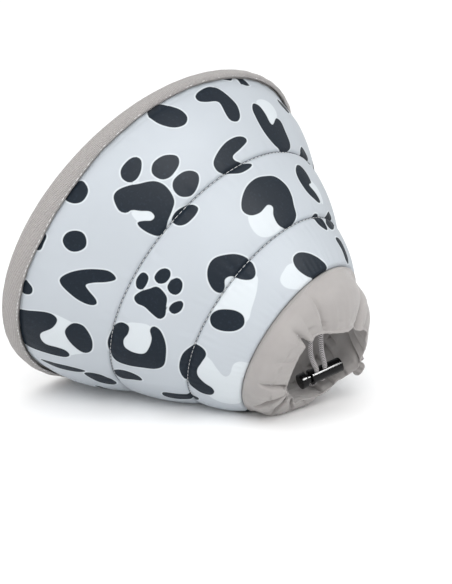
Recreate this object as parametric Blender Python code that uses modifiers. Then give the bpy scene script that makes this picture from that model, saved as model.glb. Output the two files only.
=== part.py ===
"""Soft padded recovery collar (elizabethan collar) for a cat, lying on its side.

A truncated cone of quilted cloth has a bound rim at its wide end and a gathered
cuff at its neck end. A drawcord runs round inside the cuff and comes out through
a slit into a cord lock with a sprung button.

Metres, +Z up. The collar lies on z = 0 with its neck end towards +X. Its axis is
in the XZ plane and slopes down to the neck, so the lowest line of the cone is flat
on the ground.

Collar coordinates used below: an angle round the axis in degrees (0 is the top,
90 is the +Y side, 180 is the line that lies on the ground), a distance along the
axis from the rim, and a radius.
"""
import math

import bmesh
import bpy
from mathutils import Matrix, Vector

# Main sizes of the collar
RIM_RADIUS = 0.1065
NECK_RADIUS = 0.0446
CONE_DEPTH = 0.108

# The soft cone goes a little oval: its height as a share of its round height
RIM_HEIGHT = 0.945
NECK_HEIGHT = 1.065

# How far cloth that lies on the ground is pressed flat
SETTLE = 0.0018

# Padded wall: thickness where it is stitched, and the swell between stitch lines
STITCHED_WALL = 0.003
PUFF_OUT = 0.0027
PUFF_IN = 0.0016
PUFF_FULLNESS = 0.7

# Quilted bands, by share of the slant length from the rim to the cuff seam
BANDS = (
    # (name, start, end, puff)
    ("rim band", 0.080, 0.447, 1.00),
    ("middle band", 0.447, 0.772, 0.90),
    ("neck band", 0.772, 1.000, 0.70),
)
POINTS_IN_BAND = 5

# Binding tape folded over the rim: its fold is flatter than a half circle by a share,
# and the wall below it comes out from under the tape within a share of the slant
TAPE_WIDTH = 0.0092
TAPE_THICKNESS = 0.0011
TAPE_FLATNESS = 0.55
TAPE_RELEASE = 0.12

# Gathered cuff: its fabric, its reach past the seam and the radius of its mouth
CUFF_WALL = 0.0014
CUFF_REACH = 0.020
CUFF_SWELL = 0.0030
MOUTH_RADIUS = 0.0272

# One section through the cuff, from the seam over the outside, round the lip and
# back inside: share of the reach, share of the way in to the lip, share of the swell.
# The first rows, up to the lip, are the outside.
CUFF_SECTION = (
    # (reach, way in, swell)
    (0.12, 0.00, 0.55),
    (0.30, 0.00, 1.00),
    (0.50, 0.03, 1.15),
    (0.68, 0.14, 1.10),
    (0.82, 0.33, 0.90),
    (0.93, 0.58, 0.60),
    (1.00, 0.82, 0.25),
    (0.97, 0.98, 0.00),
    (0.86, 1.00, 0.00),
    (0.70, 0.93, 0.00),
    (0.50, 0.78, 0.00),
    (0.30, 0.56, 0.00),
    (0.12, 0.34, 0.00),
)
OUTSIDE_ROWS = 7
LIP_ROW = CUFF_SECTION[6]
SLIT_ROW = CUFF_SECTION[9]

# The lip round the mouth: share of the reach, share of the mouth radius, and how far
# the outside behind the lip swells (above 0) or draws in (below 0)
LIP = (
    # (angle, reach, radius, swell)
    (0.0, 1.08, 0.86, -0.5),
    (30.0, 1.12, 0.88, -1.2),
    (60.0, 1.20, 0.98, -1.2),
    (90.0, 1.23, 1.04, -0.5),
    (112.0, 1.17, 1.06, -0.1),
    (145.0, 1.02, 1.02, -0.3),
    (180.0, 0.88, 0.96, -0.7),
    (215.0, 0.82, 0.99, -0.8),
    (240.0, 0.84, 1.05, -0.3),
    (275.0, 0.80, 1.10, 0.2),
    (305.0, 0.76, 1.10, 0.2),
    (335.0, 0.96, 0.90, 0.0),
)

# Gathers: grooves that run from the lip towards the seam, fading by a power of the
# reach; beyond a number of half widths a groove has no depth
GATHER_DEPTH = 0.0022
GATHER_FADE = 1.5
GATHER_TAIL = 2.0
GATHERS = (
    # (angle, half width, depth)
    (18.0, 9.0, 0.90),
    (62.0, 8.0, 0.55),
    (97.0, 8.0, 0.50),
    (124.0, 7.0, 1.00),
    (152.0, 9.0, 0.55),
    (184.0, 9.0, 0.60),
    (212.0, 7.0, 0.90),
    (236.0, 8.0, 1.00),
    (268.0, 10.0, 0.40),
    (302.0, 7.0, 1.00),
    (342.0, 10.0, 0.50),
)

# Slit on the inside of the cuff where both ends of the drawcord come out
SLIT_ANGLE = 326.0
SLIT_LENGTH = 0.0235
SLIT_WIDTH = 0.0062
SLIT_DEPTH = 0.0112
SLIT_REACH = 0.0114
SLIT_LEAN = 9.0

# Strip end of the fastening that stands past the lip
TAB_ANGLE = 105.0
TAB_LENGTH = 0.0078
TAB_WIDTH = 0.0050
TAB_THICKNESS = 0.0014
TAB_EDGE = 0.0004

# Cord lock: barrel, sprung button and how they sit, along the lock's own axis
BARREL_LENGTH = 0.0190
BARREL_RADIUS = 0.0039
BARREL_EDGE = 0.0009
FLANGE_RADIUS = 0.0043
FLANGE_LENGTH = 0.0014
BORE_RADIUS = 0.0029
BORE_DEPTH = 0.0174
BUTTON_RADIUS = 0.0042
BUTTON_LENGTH = 0.0040
BUTTON_EDGE = 0.0007
BUTTON_TRAVEL = 0.0022
STEM_LENGTH = 0.0125
CORD_HOLES = (0.0036, 0.0088)

# Drawcord
CORD_RADIUS = 0.0012
KNOT_RADIUS = 0.0028

# Clearances
GAP = 0.0003
CORD_CLEARANCE = 0.0004
CORD_END_GAP = 0.0009

# Place of the lock, in the cuff's frame: along the axis from the seam, up, side
BUTTON_END = (0.0120, -0.0193, -0.0020)
BARREL_END = (0.0190, -0.0086, 0.0195)

# Points of the drawcord's two ends in the same frame, from the knot up through the
# lock and the slit into the cuff; the turn round the cuff is worked out below
KNOT_PLACE = (0.0070, -0.0260, 0.0155)
CORD_ABOVE_LOCK = (
    ((0.0128, 0.0030, -0.0078), (0.0107, 0.0222, -0.0183)),
    ((0.0142, 0.0070, -0.0026), (0.0116, 0.0260, -0.0126)),
)
CORD_BELOW_LOCK = (
    ((0.0134, -0.0238, 0.0112), (0.0106, -0.0256, 0.0132)),
    ((0.0146, -0.0209, 0.0158), (0.0116, -0.0244, 0.0176)),
)
CORD_STRAIGHT = 0.0053
CORD_INTO_SLIT = (
    # (angle, share of the way from the free end to the cord's seat in the cuff)
    ((316.0, 0.42), (308.0, 0.85)),
    ((338.0, 0.42), (346.0, 0.85)),
)
# Seat of the cord's turn in the cuff: share of the reach, and way in of the inner wall
CORD_SEAT = 0.66
CORD_SEAT_WAY_IN = 0.97
TURN_ANGLES = (298.0, 278.0, 258.0, 238.0, 218.0, 198.0, 178.0, 158.0, 138.0, 118.0,
               98.0, 78.0, 58.0, 38.0, 18.0, -4.0)
CORD_STEP = 0.0054

# Facets round the collar, small turned pieces, cord holes and the knot, along rounded
# edges and the tape's fold, and points between two points of the cord's route
COLLAR_STEPS = 60
SMALL_STEPS = 24
HOLE_STEPS = 14
HOLE_TURN = 7.0
KNOT_STEPS = (16, 10)
EDGE_STEPS = 4
FOLD_STEPS = 4
CURVE_PARTS = 12
SHARP_ANGLE = 35.0

# Length of a round cutter, in radii of the piece that it goes right through
CUT_THROUGH = 4.0

HALF_ANGLE = math.atan2(RIM_RADIUS - NECK_RADIUS, CONE_DEPTH)
SLANT = math.hypot(RIM_RADIUS - NECK_RADIUS, CONE_DEPTH)
TILT = math.atan2(RIM_RADIUS * RIM_HEIGHT - NECK_RADIUS * NECK_HEIGHT, CONE_DEPTH)
RIM_CENTRE_UP = RIM_RADIUS * RIM_HEIGHT
DIRECTION = Vector((math.cos(TILT), 0.0, -math.sin(TILT)))
UP = Vector((math.sin(TILT), 0.0, math.cos(TILT)))
SIDE = Vector((0.0, 1.0, 0.0))
SINK = Vector((0.0, 0.0, -SETTLE))
BARREL_START = BUTTON_LENGTH + BUTTON_TRAVEL + GAP


def new_collections():
    """Return the collection of the collar's parts and the one of its cutters."""
    parts = bpy.data.collections.new("elizabethan_collar")
    cutters = bpy.data.collections.new("cutters")
    for collection in (parts, cutters):
        bpy.context.scene.collection.children.link(collection)
    return parts, cutters


def material(name, color, roughness, metallic=0.0):
    """A Principled material of one colour."""
    made = bpy.data.materials.new(name)
    made.use_nodes = True
    shader = made.node_tree.nodes["Principled BSDF"]
    shader.inputs["Base Color"].default_value = (*color, 1.0)
    shader.inputs["Roughness"].default_value = roughness
    shader.inputs["Metallic"].default_value = metallic
    return made


def along_and_out(along, out):
    """Axial distance and radius of a point on the slanted wall.

    along runs down the slant from the rim, out is off the wall, outwards."""
    axial = along * math.cos(HALF_ANGLE) + out * math.sin(HALF_ANGLE)
    radius = RIM_RADIUS - along * math.sin(HALF_ANGLE) + out * math.cos(HALF_ANGLE)
    return axial, radius


def oval_point(angle, axial, radius):
    """A point of the collar before the ground presses on it; angle in radians."""
    share = min(max(axial / CONE_DEPTH, 0.0), 1.0)
    height = RIM_HEIGHT + (NECK_HEIGHT - RIM_HEIGHT) * share
    up = radius * height * math.cos(angle)
    side = radius * (2.0 - height) * math.sin(angle)
    return axial * DIRECTION + (RIM_CENTRE_UP + up) * UP + side * SIDE + SINK


def settled_point(angle, axial, radius):
    """A point of the collar as it lies: the wall is lifted onto the ground as one."""
    point = oval_point(angle, axial, radius)
    depth = -oval_point(angle, axial, envelope_radius(angle, axial)).z
    return point + Vector((0.0, 0.0, max(depth, 0.0)))


def cuff_point(place):
    """World point of a place given along the axis from the seam, up and side."""
    past_seam, up, side = place
    return (CONE_DEPTH + past_seam) * DIRECTION + (RIM_CENTRE_UP + up) * UP + side * SIDE + SINK


def round_table(table, angle, column):
    """Smooth value of one column of a table whose rows go round by angle."""
    degrees = math.degrees(angle) % 360.0
    rows = list(table) + [(table[0][0] + 360.0,) + tuple(table[0][1:])]
    for row, after in zip(rows, rows[1:]):
        if row[0] <= degrees <= after[0]:
            part = (degrees - row[0]) / (after[0] - row[0])
            ease = part * part * (3.0 - 2.0 * part)
            return row[column] + (after[column] - row[column]) * ease
    return table[0][column]


def gather(angle):
    """Depth of the gathers at an angle."""
    degrees = math.degrees(angle)
    depth = 0.0
    for centre, half_width, share in GATHERS:
        away = abs((degrees - centre + 180.0) % 360.0 - 180.0) / half_width
        if away < GATHER_TAIL:
            depth += share * math.exp(-away * away)
    return GATHER_DEPTH * depth


def cuff_radius(angle, reach, way_in, swell):
    """Radius of a point of the cuff's section at an angle."""
    lip_radius = MOUTH_RADIUS * round_table(LIP, angle, 2)
    grooves = gather(angle) * reach ** GATHER_FADE
    swollen = CUFF_SWELL * swell * round_table(LIP, angle, 3)
    return NECK_RADIUS + (lip_radius - NECK_RADIUS) * way_in + swollen - grooves


def cuff_section(angle):
    """Closed section of the cuff at an angle, as (axial, radius) pairs."""
    reach = CUFF_REACH * round_table(LIP, angle, 1)
    start, end = seam_edge(0.0), seam_edge(-STITCHED_WALL)
    middle = [
        (CONE_DEPTH + reach * row[0], cuff_radius(angle, *row)) for row in CUFF_SECTION
    ]
    return [start] + middle + [end]


def seam_edge(out):
    """Edge of the cuff next to the seam, a gap away from the end of the cone."""
    return along_and_out(SLANT + GAP, out)


def cuff_outside(angle, axial):
    """Outer radius of the cuff at a distance along the axis."""
    reach = CUFF_REACH * round_table(LIP, angle, 1)
    outer = [(0.0, 0.0, 0.0)] + list(CUFF_SECTION[:OUTSIDE_ROWS])
    share = (axial - CONE_DEPTH) / reach
    for row, after in zip(outer, outer[1:]):
        if row[0] <= share < after[0]:
            part = (share - row[0]) / (after[0] - row[0])
            mixed = [a + (b - a) * part for a, b in zip(row, after)]
            return cuff_radius(angle, *mixed)
    return cuff_radius(angle, *outer[-1])


def envelope_radius(angle, axial):
    """Outer radius of the collar, without the swell of the padding."""
    if axial <= CONE_DEPTH:
        return RIM_RADIUS - (RIM_RADIUS - NECK_RADIUS) * axial / CONE_DEPTH
    return cuff_outside(angle, axial)


def puff(along):
    """Swell of the padding between stitch lines, from 0 to 1."""
    share = along / SLANT
    for _, start, end, height in BANDS:
        if start < share < end:
            return height * math.sin(math.pi * (share - start) / (end - start)) ** PUFF_FULLNESS
    return 0.0


def wall_stations():
    """Distances down the slant where the padded wall has a point."""
    stations = []
    for _, start, end, _ in BANDS:
        for step in range(POINTS_IN_BAND):
            part = (1.0 - math.cos(math.pi * step / POINTS_IN_BAND)) / 2.0
            stations.append(SLANT * (start + (end - start) * part))
    return stations + [SLANT]


def padded_wall_profile():
    """Closed profile of the quilted wall as (axial, radius), outer side first."""
    under_tape = -(TAPE_THICKNESS + GAP)
    edge = TAPE_THICKNESS + GAP
    tape_end = TAPE_WIDTH + GAP
    outer = [along_and_out(edge, under_tape), along_and_out(tape_end, under_tape)]
    inner = [
        along_and_out(edge, under_tape - STITCHED_WALL),
        along_and_out(tape_end, under_tape - STITCHED_WALL),
    ]
    first = BANDS[0][1] * SLANT
    for along in wall_stations():
        if along <= first:
            continue
        lift = puff(along)
        blend = min((along - first) / (TAPE_RELEASE * SLANT), 1.0)
        sunk = under_tape * (1.0 - blend)
        outer.append(along_and_out(along, sunk + PUFF_OUT * lift))
        inner.append(along_and_out(along, sunk - STITCHED_WALL - PUFF_IN * lift))
    return outer + inner[::-1]


def tape_profile():
    """Closed profile of the tape: an outer leg, the fold over the rim, an inner leg."""
    depth = 2.0 * (TAPE_THICKNESS + GAP) + STITCHED_WALL
    middle = depth / 2.0
    outer, inner = [(TAPE_WIDTH, 0.0)], [(TAPE_WIDTH, -TAPE_THICKNESS)]
    inside = middle - TAPE_THICKNESS
    for step in range(FOLD_STEPS + 1):
        turn = math.pi * step / FOLD_STEPS
        fold = 1.0 - TAPE_FLATNESS * math.sin(turn)
        outer.append((middle * fold, middle * (math.cos(turn) - 1.0)))
        inner.append((TAPE_THICKNESS + inside * fold, inside * math.cos(turn) - middle))
    outer.append((TAPE_WIDTH, -depth))
    inner.append((TAPE_WIDTH, -depth + TAPE_THICKNESS))
    start = middle * (1.0 - TAPE_FLATNESS)
    loop = outer[::-1] + inner
    return [along_and_out(along - start, out) for along, out in loop[::-1]]


def new_object(name, mesh, parts, look, parent):
    """Link a mesh object to the collar under its empty, with its material."""
    made = bpy.data.objects.new(name, mesh)
    parts.objects.link(made)
    mesh.materials.clear()
    mesh.materials.append(look)
    made.parent = parent
    return made


def applied_mesh(obj):
    """Mesh of an object with its modifiers, in place of the object."""
    graph = bpy.context.evaluated_depsgraph_get()
    mesh = bpy.data.meshes.new_from_object(obj.evaluated_get(graph))
    mesh.transform(obj.matrix_world)
    bpy.data.objects.remove(obj)
    return mesh


def turned_mesh(profile, steps, collection, closed=True):
    """Mesh of a profile turned round Z; the profile is (distance down, radius)."""
    mesh = bpy.data.meshes.new("turned")
    verts = [(radius, 0.0, -down) for down, radius in profile]
    edges = [(i, i + 1) for i in range(len(verts) - 1)]
    if closed:
        edges.append((len(verts) - 1, 0))
    mesh.from_pydata(verts, edges, [])
    blank = bpy.data.objects.new("turned", mesh)
    collection.objects.link(blank)
    screw = blank.modifiers.new("turn", "SCREW")
    screw.steps = screw.render_steps = steps
    screw.use_merge_vertices = True
    screw.merge_threshold = 0.00001
    bpy.context.view_layer.update()
    return applied_mesh(blank)


def face_out(mesh):
    """Turn the faces of a closed mesh outwards and shade it smooth."""
    work = bmesh.new()
    work.from_mesh(mesh)
    bmesh.ops.recalc_face_normals(work, faces=work.faces)
    work.to_mesh(mesh)
    work.free()
    mesh.shade_smooth()


def lay_down(mesh):
    """Take a mesh turned round Z to the collar's lying, settled shape."""
    for vertex in mesh.vertices:
        x, y, z = vertex.co
        vertex.co = settled_point(math.atan2(y, x), -z, math.hypot(x, y))
        vertex.co.z = max(vertex.co.z, 0.0)
    face_out(mesh)


def padded_cone(parts, parent):
    """Quilted wall in three padded bands, hollow from the rim to the neck."""
    look = material("printed_polyester", (0.65, 0.70, 0.76), 0.55)
    mesh = turned_mesh(padded_wall_profile(), COLLAR_STEPS, parts)
    lay_down(mesh)
    return new_object("padded_cone", mesh, parts, look, parent)


def rim_binding(parts, parent):
    """Tape folded over the rim."""
    look = material("binding_tape", (0.42, 0.39, 0.37), 0.75)
    mesh = turned_mesh(tape_profile(), COLLAR_STEPS, parts)
    lay_down(mesh)
    return new_object("rim_binding", mesh, parts, look, parent)


def inset(loop, distance):
    """Move the points of an (axial, radius) path to its inner side."""
    moved = []
    for index in range(1, len(loop) - 1):
        before, here, after = loop[index - 1], loop[index], loop[index + 1]
        along = Vector((after[0] - before[0], after[1] - before[1])).normalized()
        moved.append((here[0] + along.y * distance, here[1] - along.x * distance))
    return moved


def loft_round(name, section_at, steps):
    """Closed ring mesh through one closed section at each angle."""
    mesh = bpy.data.meshes.new(name)
    verts, faces = [], []
    for step in range(steps):
        angle = 2.0 * math.pi * step / steps
        section = section_at(angle)
        count = len(section)
        verts += [settled_point(angle, axial, radius) for axial, radius in section]
        row, after = step * count, (step + 1) % steps * count
        for index in range(count):
            side = (index + 1) % count
            faces.append((row + index, row + side, after + side, after + index))
    mesh.from_pydata(verts, [], faces)
    for vertex in mesh.vertices:
        vertex.co.z = max(vertex.co.z, 0.0)
    face_out(mesh)
    return mesh


def hollow_section(angle):
    """Section of the channel inside the cuff at an angle."""
    return inset(cuff_section(angle), CUFF_WALL)


def cutter(mesh, cutters, parent):
    """Object that only cuts."""
    made = bpy.data.objects.new("cutter", mesh)
    cutters.objects.link(made)
    made.hide_render = True
    made.display_type = "WIRE"
    made.parent = parent
    return made


def cut(obj, tool):
    """Take a cutter out of an object."""
    step = obj.modifiers.new("cut", "BOOLEAN")
    step.operation = "DIFFERENCE"
    step.solver = "EXACT"
    step.object = tool


def box_mesh(size, frame):
    """Box of a size, placed by a matrix."""
    mesh = bpy.data.meshes.new("box")
    work = bmesh.new()
    bmesh.ops.create_cube(work, size=1.0)
    bmesh.ops.scale(work, vec=size, verts=work.verts)
    bmesh.ops.transform(work, matrix=frame, verts=work.verts)
    work.to_mesh(mesh)
    work.free()
    return mesh


def frame_matrix(origin, x_axis, z_axis):
    """Matrix with its X along x_axis and its Z as near to z_axis as it can be."""
    x_dir = x_axis.normalized()
    z_dir = (z_axis - z_axis.dot(x_dir) * x_dir).normalized()
    y_dir = z_dir.cross(x_dir)
    turn = Matrix((x_dir, y_dir, z_dir)).transposed().to_4x4()
    return Matrix.Translation(origin) @ turn


def neck_cuff(parts, cutters, parent):
    """Doubled casing of plain cloth, gathered to a mouth, with a slit for the cord."""
    look = material("cuff_cloth", (0.44, 0.41, 0.39), 0.85)
    mesh = loft_round("neck_cuff", cuff_section, COLLAR_STEPS)
    made = new_object("neck_cuff", mesh, parts, look, parent)
    channel = cutter(loft_round("channel", hollow_section, COLLAR_STEPS), cutters, parent)
    cut(made, channel)
    angle = math.radians(SLIT_ANGLE)
    out = math.cos(angle) * UP + math.sin(angle) * SIDE
    tangent = out.cross(DIRECTION)
    inner = cuff_radius(angle, *SLIT_ROW)
    centre = settled_point(angle, CONE_DEPTH + SLIT_REACH, inner)
    along = tangent + math.tan(math.radians(SLIT_LEAN)) * DIRECTION
    slit = box_mesh((SLIT_LENGTH, SLIT_WIDTH, SLIT_DEPTH), frame_matrix(centre, along, out))
    cut(made, cutter(slit, cutters, parent))
    return made


def closure_tab(parts, parent):
    """Strip end that stands past the lip, curved like the cuff."""
    look = material("fastening_strip", (0.46, 0.45, 0.44), 0.9)
    angle = math.radians(TAB_ANGLE)
    out = math.cos(angle) * UP + math.sin(angle) * SIDE
    tangent = out.cross(DIRECTION)
    reach = CUFF_REACH * round_table(LIP, angle, 1)
    radius = cuff_radius(angle, *LIP_ROW)
    centre = settled_point(angle, CONE_DEPTH + reach + GAP + TAB_WIDTH / 2.0, radius)
    size = (TAB_LENGTH, TAB_WIDTH, TAB_THICKNESS)
    made = new_object("closure_tab", box_mesh(size, frame_matrix(centre, tangent, out)),
                      parts, look, parent)
    bevel = made.modifiers.new("edges", "BEVEL")
    bevel.width = TAB_EDGE
    bevel.segments = 2
    return made


def lock_frame():
    """Frame of the cord lock: its X runs from the button into the barrel."""
    start, end = cuff_point(BUTTON_END), cuff_point(BARREL_END)
    middle = cuff_point(CORD_ABOVE_LOCK[0][1]) + cuff_point(CORD_ABOVE_LOCK[1][1])
    return frame_matrix(start, end - start, middle / 2.0 - start)


def lock_point(along, up):
    """World point on the lock's axis plane."""
    return lock_frame() @ Vector((along, 0.0, up))


def lock_piece(name, profile, parts, parent, look):
    """Turned piece of the lock, from a profile of (distance along, radius)."""
    mesh = turned_mesh(profile, SMALL_STEPS, parts, closed=False)
    mesh.transform(lock_frame() @ Matrix.Rotation(math.radians(-90.0), 4, "Y"))
    face_out(mesh)
    mesh.set_sharp_from_angle(angle=math.radians(SHARP_ANGLE))
    return new_object(name, mesh, parts, look, parent)


def rounded_edge():
    """Sine and cosine of the angles along a rounded edge."""
    turns = [math.pi / 2.0 * step / EDGE_STEPS for step in range(EDGE_STEPS + 1)]
    return [(math.sin(turn), math.cos(turn)) for turn in turns]


def lock_barrel(parts, cutters, parent, look):
    """Barrel with a flange, a blind bore for the button's stem and two cord holes."""
    start = BARREL_START
    end = start + BARREL_LENGTH
    edge = BARREL_EDGE
    profile = [
        (start + BORE_DEPTH, 0.0),
        (start + BORE_DEPTH, BORE_RADIUS),
        (start, BORE_RADIUS),
        (start, FLANGE_RADIUS),
        (start + FLANGE_LENGTH, FLANGE_RADIUS),
        (start + FLANGE_LENGTH, BARREL_RADIUS),
    ]
    for rise, run in rounded_edge():
        profile.append((end - edge + edge * rise, BARREL_RADIUS - edge + edge * run))
    profile.append((end, 0.0))
    made = lock_piece("cord_lock_barrel", profile, parts, parent, look)
    for hole in CORD_HOLES:
        mesh = bpy.data.meshes.new("hole")
        work = bmesh.new()
        bmesh.ops.create_cone(work, cap_ends=True, segments=HOLE_STEPS,
                              depth=CUT_THROUGH * BARREL_RADIUS,
                              radius1=CORD_RADIUS + CORD_CLEARANCE,
                              radius2=CORD_RADIUS + CORD_CLEARANCE)
        turn = Matrix.Rotation(math.radians(HOLE_TURN), 4, "Z")
        place = lock_frame() @ Matrix.Translation((start + hole, 0.0, 0.0)) @ turn
        bmesh.ops.transform(work, matrix=place, verts=work.verts)
        work.to_mesh(mesh)
        work.free()
        cut(made, cutter(mesh, cutters, parent))
    return made


def lock_button(parts, cutters, parent, look):
    """Button with a stem that slides in the barrel; a slot in it clears the cord."""
    edge = BUTTON_EDGE
    stem = BORE_RADIUS - GAP
    stem_end = BARREL_START + STEM_LENGTH
    profile = [(0.0, 0.0)]
    for rise, run in rounded_edge():
        profile.append((edge - edge * run, BUTTON_RADIUS - edge + edge * rise))
    profile += [
        (BUTTON_LENGTH, BUTTON_RADIUS),
        (BUTTON_LENGTH, stem),
        (stem_end, stem),
        (stem_end, 0.0),
    ]
    made = lock_piece("cord_lock_button", profile, parts, parent, look)
    half = CORD_RADIUS + CORD_CLEARANCE
    slot_start = BARREL_START + CORD_HOLES[0] - half - BUTTON_TRAVEL
    slot_end = BARREL_START + CORD_HOLES[-1] + half
    size = (slot_end - slot_start, 2.0 * half, CUT_THROUGH * BORE_RADIUS)
    place = lock_frame() @ Matrix.Translation(((slot_start + slot_end) / 2.0, 0.0, 0.0))
    cut(made, cutter(box_mesh(size, place), cutters, parent))
    return made


def seat_point(angle):
    """Where the drawcord lies in the cuff at an angle in degrees."""
    turn = math.radians(angle)
    reach = CUFF_REACH * round_table(LIP, turn, 1)
    axial = CONE_DEPTH + reach * CORD_SEAT
    outer = cuff_outside(turn, axial)
    inner = cuff_radius(turn, CORD_SEAT, CORD_SEAT_WAY_IN, 0.0)
    return settled_point(turn, axial, (outer + inner) / 2.0)


def cord_route():
    """Points that the drawcord passes through, from one end to the other."""
    sides = []
    knot = cuff_point(KNOT_PLACE)
    for hole, above, below, slit in zip(CORD_HOLES, CORD_ABOVE_LOCK, CORD_BELOW_LOCK,
                                        CORD_INTO_SLIT):
        along = BARREL_START + hole
        side = [cuff_point(place) for place in below[::-1]]
        side = [knot + (side[0] - knot).normalized() * (KNOT_RADIUS + CORD_END_GAP)] + side
        side += [lock_point(along, up) for up in (-CORD_STRAIGHT, 0.0, CORD_STRAIGHT)]
        side += [cuff_point(place) for place in above]
        free_end = side[-1]
        side += [free_end.lerp(seat_point(angle), share) for angle, share in slit]
        sides.append(side)
    turn = [seat_point(angle) for angle in TURN_ANGLES]
    return sides[0] + turn + sides[1][::-1]


def smooth_points(route, step):
    """Evenly spaced points on a smooth curve through the route's points."""
    fine = []
    ends = [2.0 * route[0] - route[1]] + list(route) + [2.0 * route[-1] - route[-2]]
    for a, b, c, d in zip(ends, ends[1:], ends[2:], ends[3:]):
        for part in range(CURVE_PARTS):
            t = part / CURVE_PARTS
            fine.append(0.5 * ((2.0 * b) + (c - a) * t + (2.0 * a - 5.0 * b + 4.0 * c - d) * t ** 2
                               + (3.0 * b - a - 3.0 * c + d) * t ** 3))
    fine.append(route[-1])
    lengths = [0.0]
    for before, here in zip(fine, fine[1:]):
        lengths.append(lengths[-1] + (here - before).length)
    count = round(lengths[-1] / step)
    points = []
    place = 0
    for index in range(count + 1):
        target = lengths[-1] * index / count
        while place < len(fine) - 2 and lengths[place + 1] < target:
            place += 1
        span = max(lengths[place + 1] - lengths[place], 1e-9)
        points.append(fine[place].lerp(fine[place + 1], (target - lengths[place]) / span))
    return points


def drawcord(parts, parent):
    """Elastic cord: through the lock, out of the slit and once round inside the cuff."""
    look = material("elastic_cord", (0.62, 0.61, 0.62), 0.8)
    curve = bpy.data.curves.new("drawcord", "CURVE")
    curve.dimensions = "3D"
    curve.bevel_depth = CORD_RADIUS
    curve.bevel_resolution = 2
    curve.use_fill_caps = True
    points = smooth_points(cord_route(), CORD_STEP)
    spline = curve.splines.new("POLY")
    spline.points.add(len(points) - 1)
    for target, point in zip(spline.points, points):
        target.co = (*point, 1.0)
    curve.materials.append(look)
    made = bpy.data.objects.new("drawcord", curve)
    parts.objects.link(made)
    made.parent = parent
    return made


def cord_knot(parts, parent):
    """Knot that joins the two ends of the drawcord behind the lock."""
    look = material("elastic_cord_knot", (0.60, 0.59, 0.60), 0.8)
    mesh = bpy.data.meshes.new("cord_knot")
    work = bmesh.new()
    bmesh.ops.create_uvsphere(work, u_segments=KNOT_STEPS[0], v_segments=KNOT_STEPS[1],
                              radius=KNOT_RADIUS)
    bmesh.ops.transform(work, matrix=Matrix.Translation(cuff_point(KNOT_PLACE)), verts=work.verts)
    work.to_mesh(mesh)
    work.free()
    mesh.shade_smooth()
    return new_object("cord_knot", mesh, parts, look, parent)


def centre_over_origin(parts, parent):
    """Move the empty so that the collar's box is centred over the origin."""
    bpy.context.view_layer.update()
    corners = [obj.matrix_world @ Vector(c) for obj in parts.objects if obj.type == "MESH"
               for c in obj.bound_box]
    parent.location.x = -(min(c.x for c in corners) + max(c.x for c in corners)) / 2.0
    parent.location.y = -(min(c.y for c in corners) + max(c.y for c in corners)) / 2.0


def main():
    for obj in list(bpy.data.objects):
        bpy.data.objects.remove(obj)
    parts, cutters = new_collections()
    parent = bpy.data.objects.new("collar_frame", None)
    bpy.context.scene.collection.objects.link(parent)
    plastic = material("black_plastic", (0.02, 0.02, 0.02), 0.25)
    padded_cone(parts, parent)
    rim_binding(parts, parent)
    neck_cuff(parts, cutters, parent)
    closure_tab(parts, parent)
    lock_barrel(parts, cutters, parent, plastic)
    lock_button(parts, cutters, parent, plastic)
    drawcord(parts, parent)
    cord_knot(parts, parent)
    centre_over_origin(parts, parent)


main()
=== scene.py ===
"""Looks of a soft padded recovery collar for a cat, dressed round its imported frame."""
import math
import bmesh
import bpy
import numpy as np
from mathutils import Matrix, Vector


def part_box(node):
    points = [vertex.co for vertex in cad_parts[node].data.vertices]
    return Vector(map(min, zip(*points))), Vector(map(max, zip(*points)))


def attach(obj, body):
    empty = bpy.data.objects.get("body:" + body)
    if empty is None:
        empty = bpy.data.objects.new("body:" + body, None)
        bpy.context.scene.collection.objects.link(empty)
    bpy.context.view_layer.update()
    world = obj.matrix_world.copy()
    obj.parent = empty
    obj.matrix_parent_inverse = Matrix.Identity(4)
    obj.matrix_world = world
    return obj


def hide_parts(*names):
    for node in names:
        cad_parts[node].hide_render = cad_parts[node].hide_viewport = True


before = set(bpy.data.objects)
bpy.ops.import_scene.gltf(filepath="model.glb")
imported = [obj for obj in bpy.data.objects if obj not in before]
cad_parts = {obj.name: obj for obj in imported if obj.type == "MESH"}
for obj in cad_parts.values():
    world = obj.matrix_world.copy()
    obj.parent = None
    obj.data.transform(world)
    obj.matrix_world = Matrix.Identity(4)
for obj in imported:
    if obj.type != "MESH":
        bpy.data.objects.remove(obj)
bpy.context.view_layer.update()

bl_info = {
    "name": "Padded recovery collar",
    "version": (1, 0, 0),
    "blender": (4, 5, 0),
    "location": "View3D > Sidebar > Collar",
    "description": "Dresses the frame of a quilted pet collar with cloth, tape, cord and lock",
    "category": "Object",
}

MM = 0.001

# The collar's own sizes, as its solids have them, in metres
RIM_RADIUS = 0.1065
NECK_RADIUS = 0.0446
CONE_DEPTH = 0.108
RIM_HEIGHT = 0.945
NECK_HEIGHT = 1.065
SETTLE = 0.0018
STITCHED_WALL = 0.003
PUFF_OUT = 0.0027
PUFF_IN = 0.0016
TAPE_WIDTH = 0.0092
TAPE_THICKNESS = 0.0011
GAP = 0.0003
QUILT_LINES = (0.080, 0.447, 0.772, 1.000)
BAND_PUFF = (1.00, 0.90, 0.70)

HALF_ANGLE = math.atan2(RIM_RADIUS - NECK_RADIUS, CONE_DEPTH)
SLANT = math.hypot(RIM_RADIUS - NECK_RADIUS, CONE_DEPTH)
TILT = math.atan2(RIM_RADIUS * RIM_HEIGHT - NECK_RADIUS * NECK_HEIGHT, CONE_DEPTH)
RIM_CENTRE_UP = RIM_RADIUS * RIM_HEIGHT
DIRECTION = np.array((math.cos(TILT), 0.0, -math.sin(TILT)))
UP = np.array((math.sin(TILT), 0.0, math.cos(TILT)))
SIDE = np.array((0.0, 1.0, 0.0))
APEX = RIM_RADIUS / math.sin(HALF_ANGLE)

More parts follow.
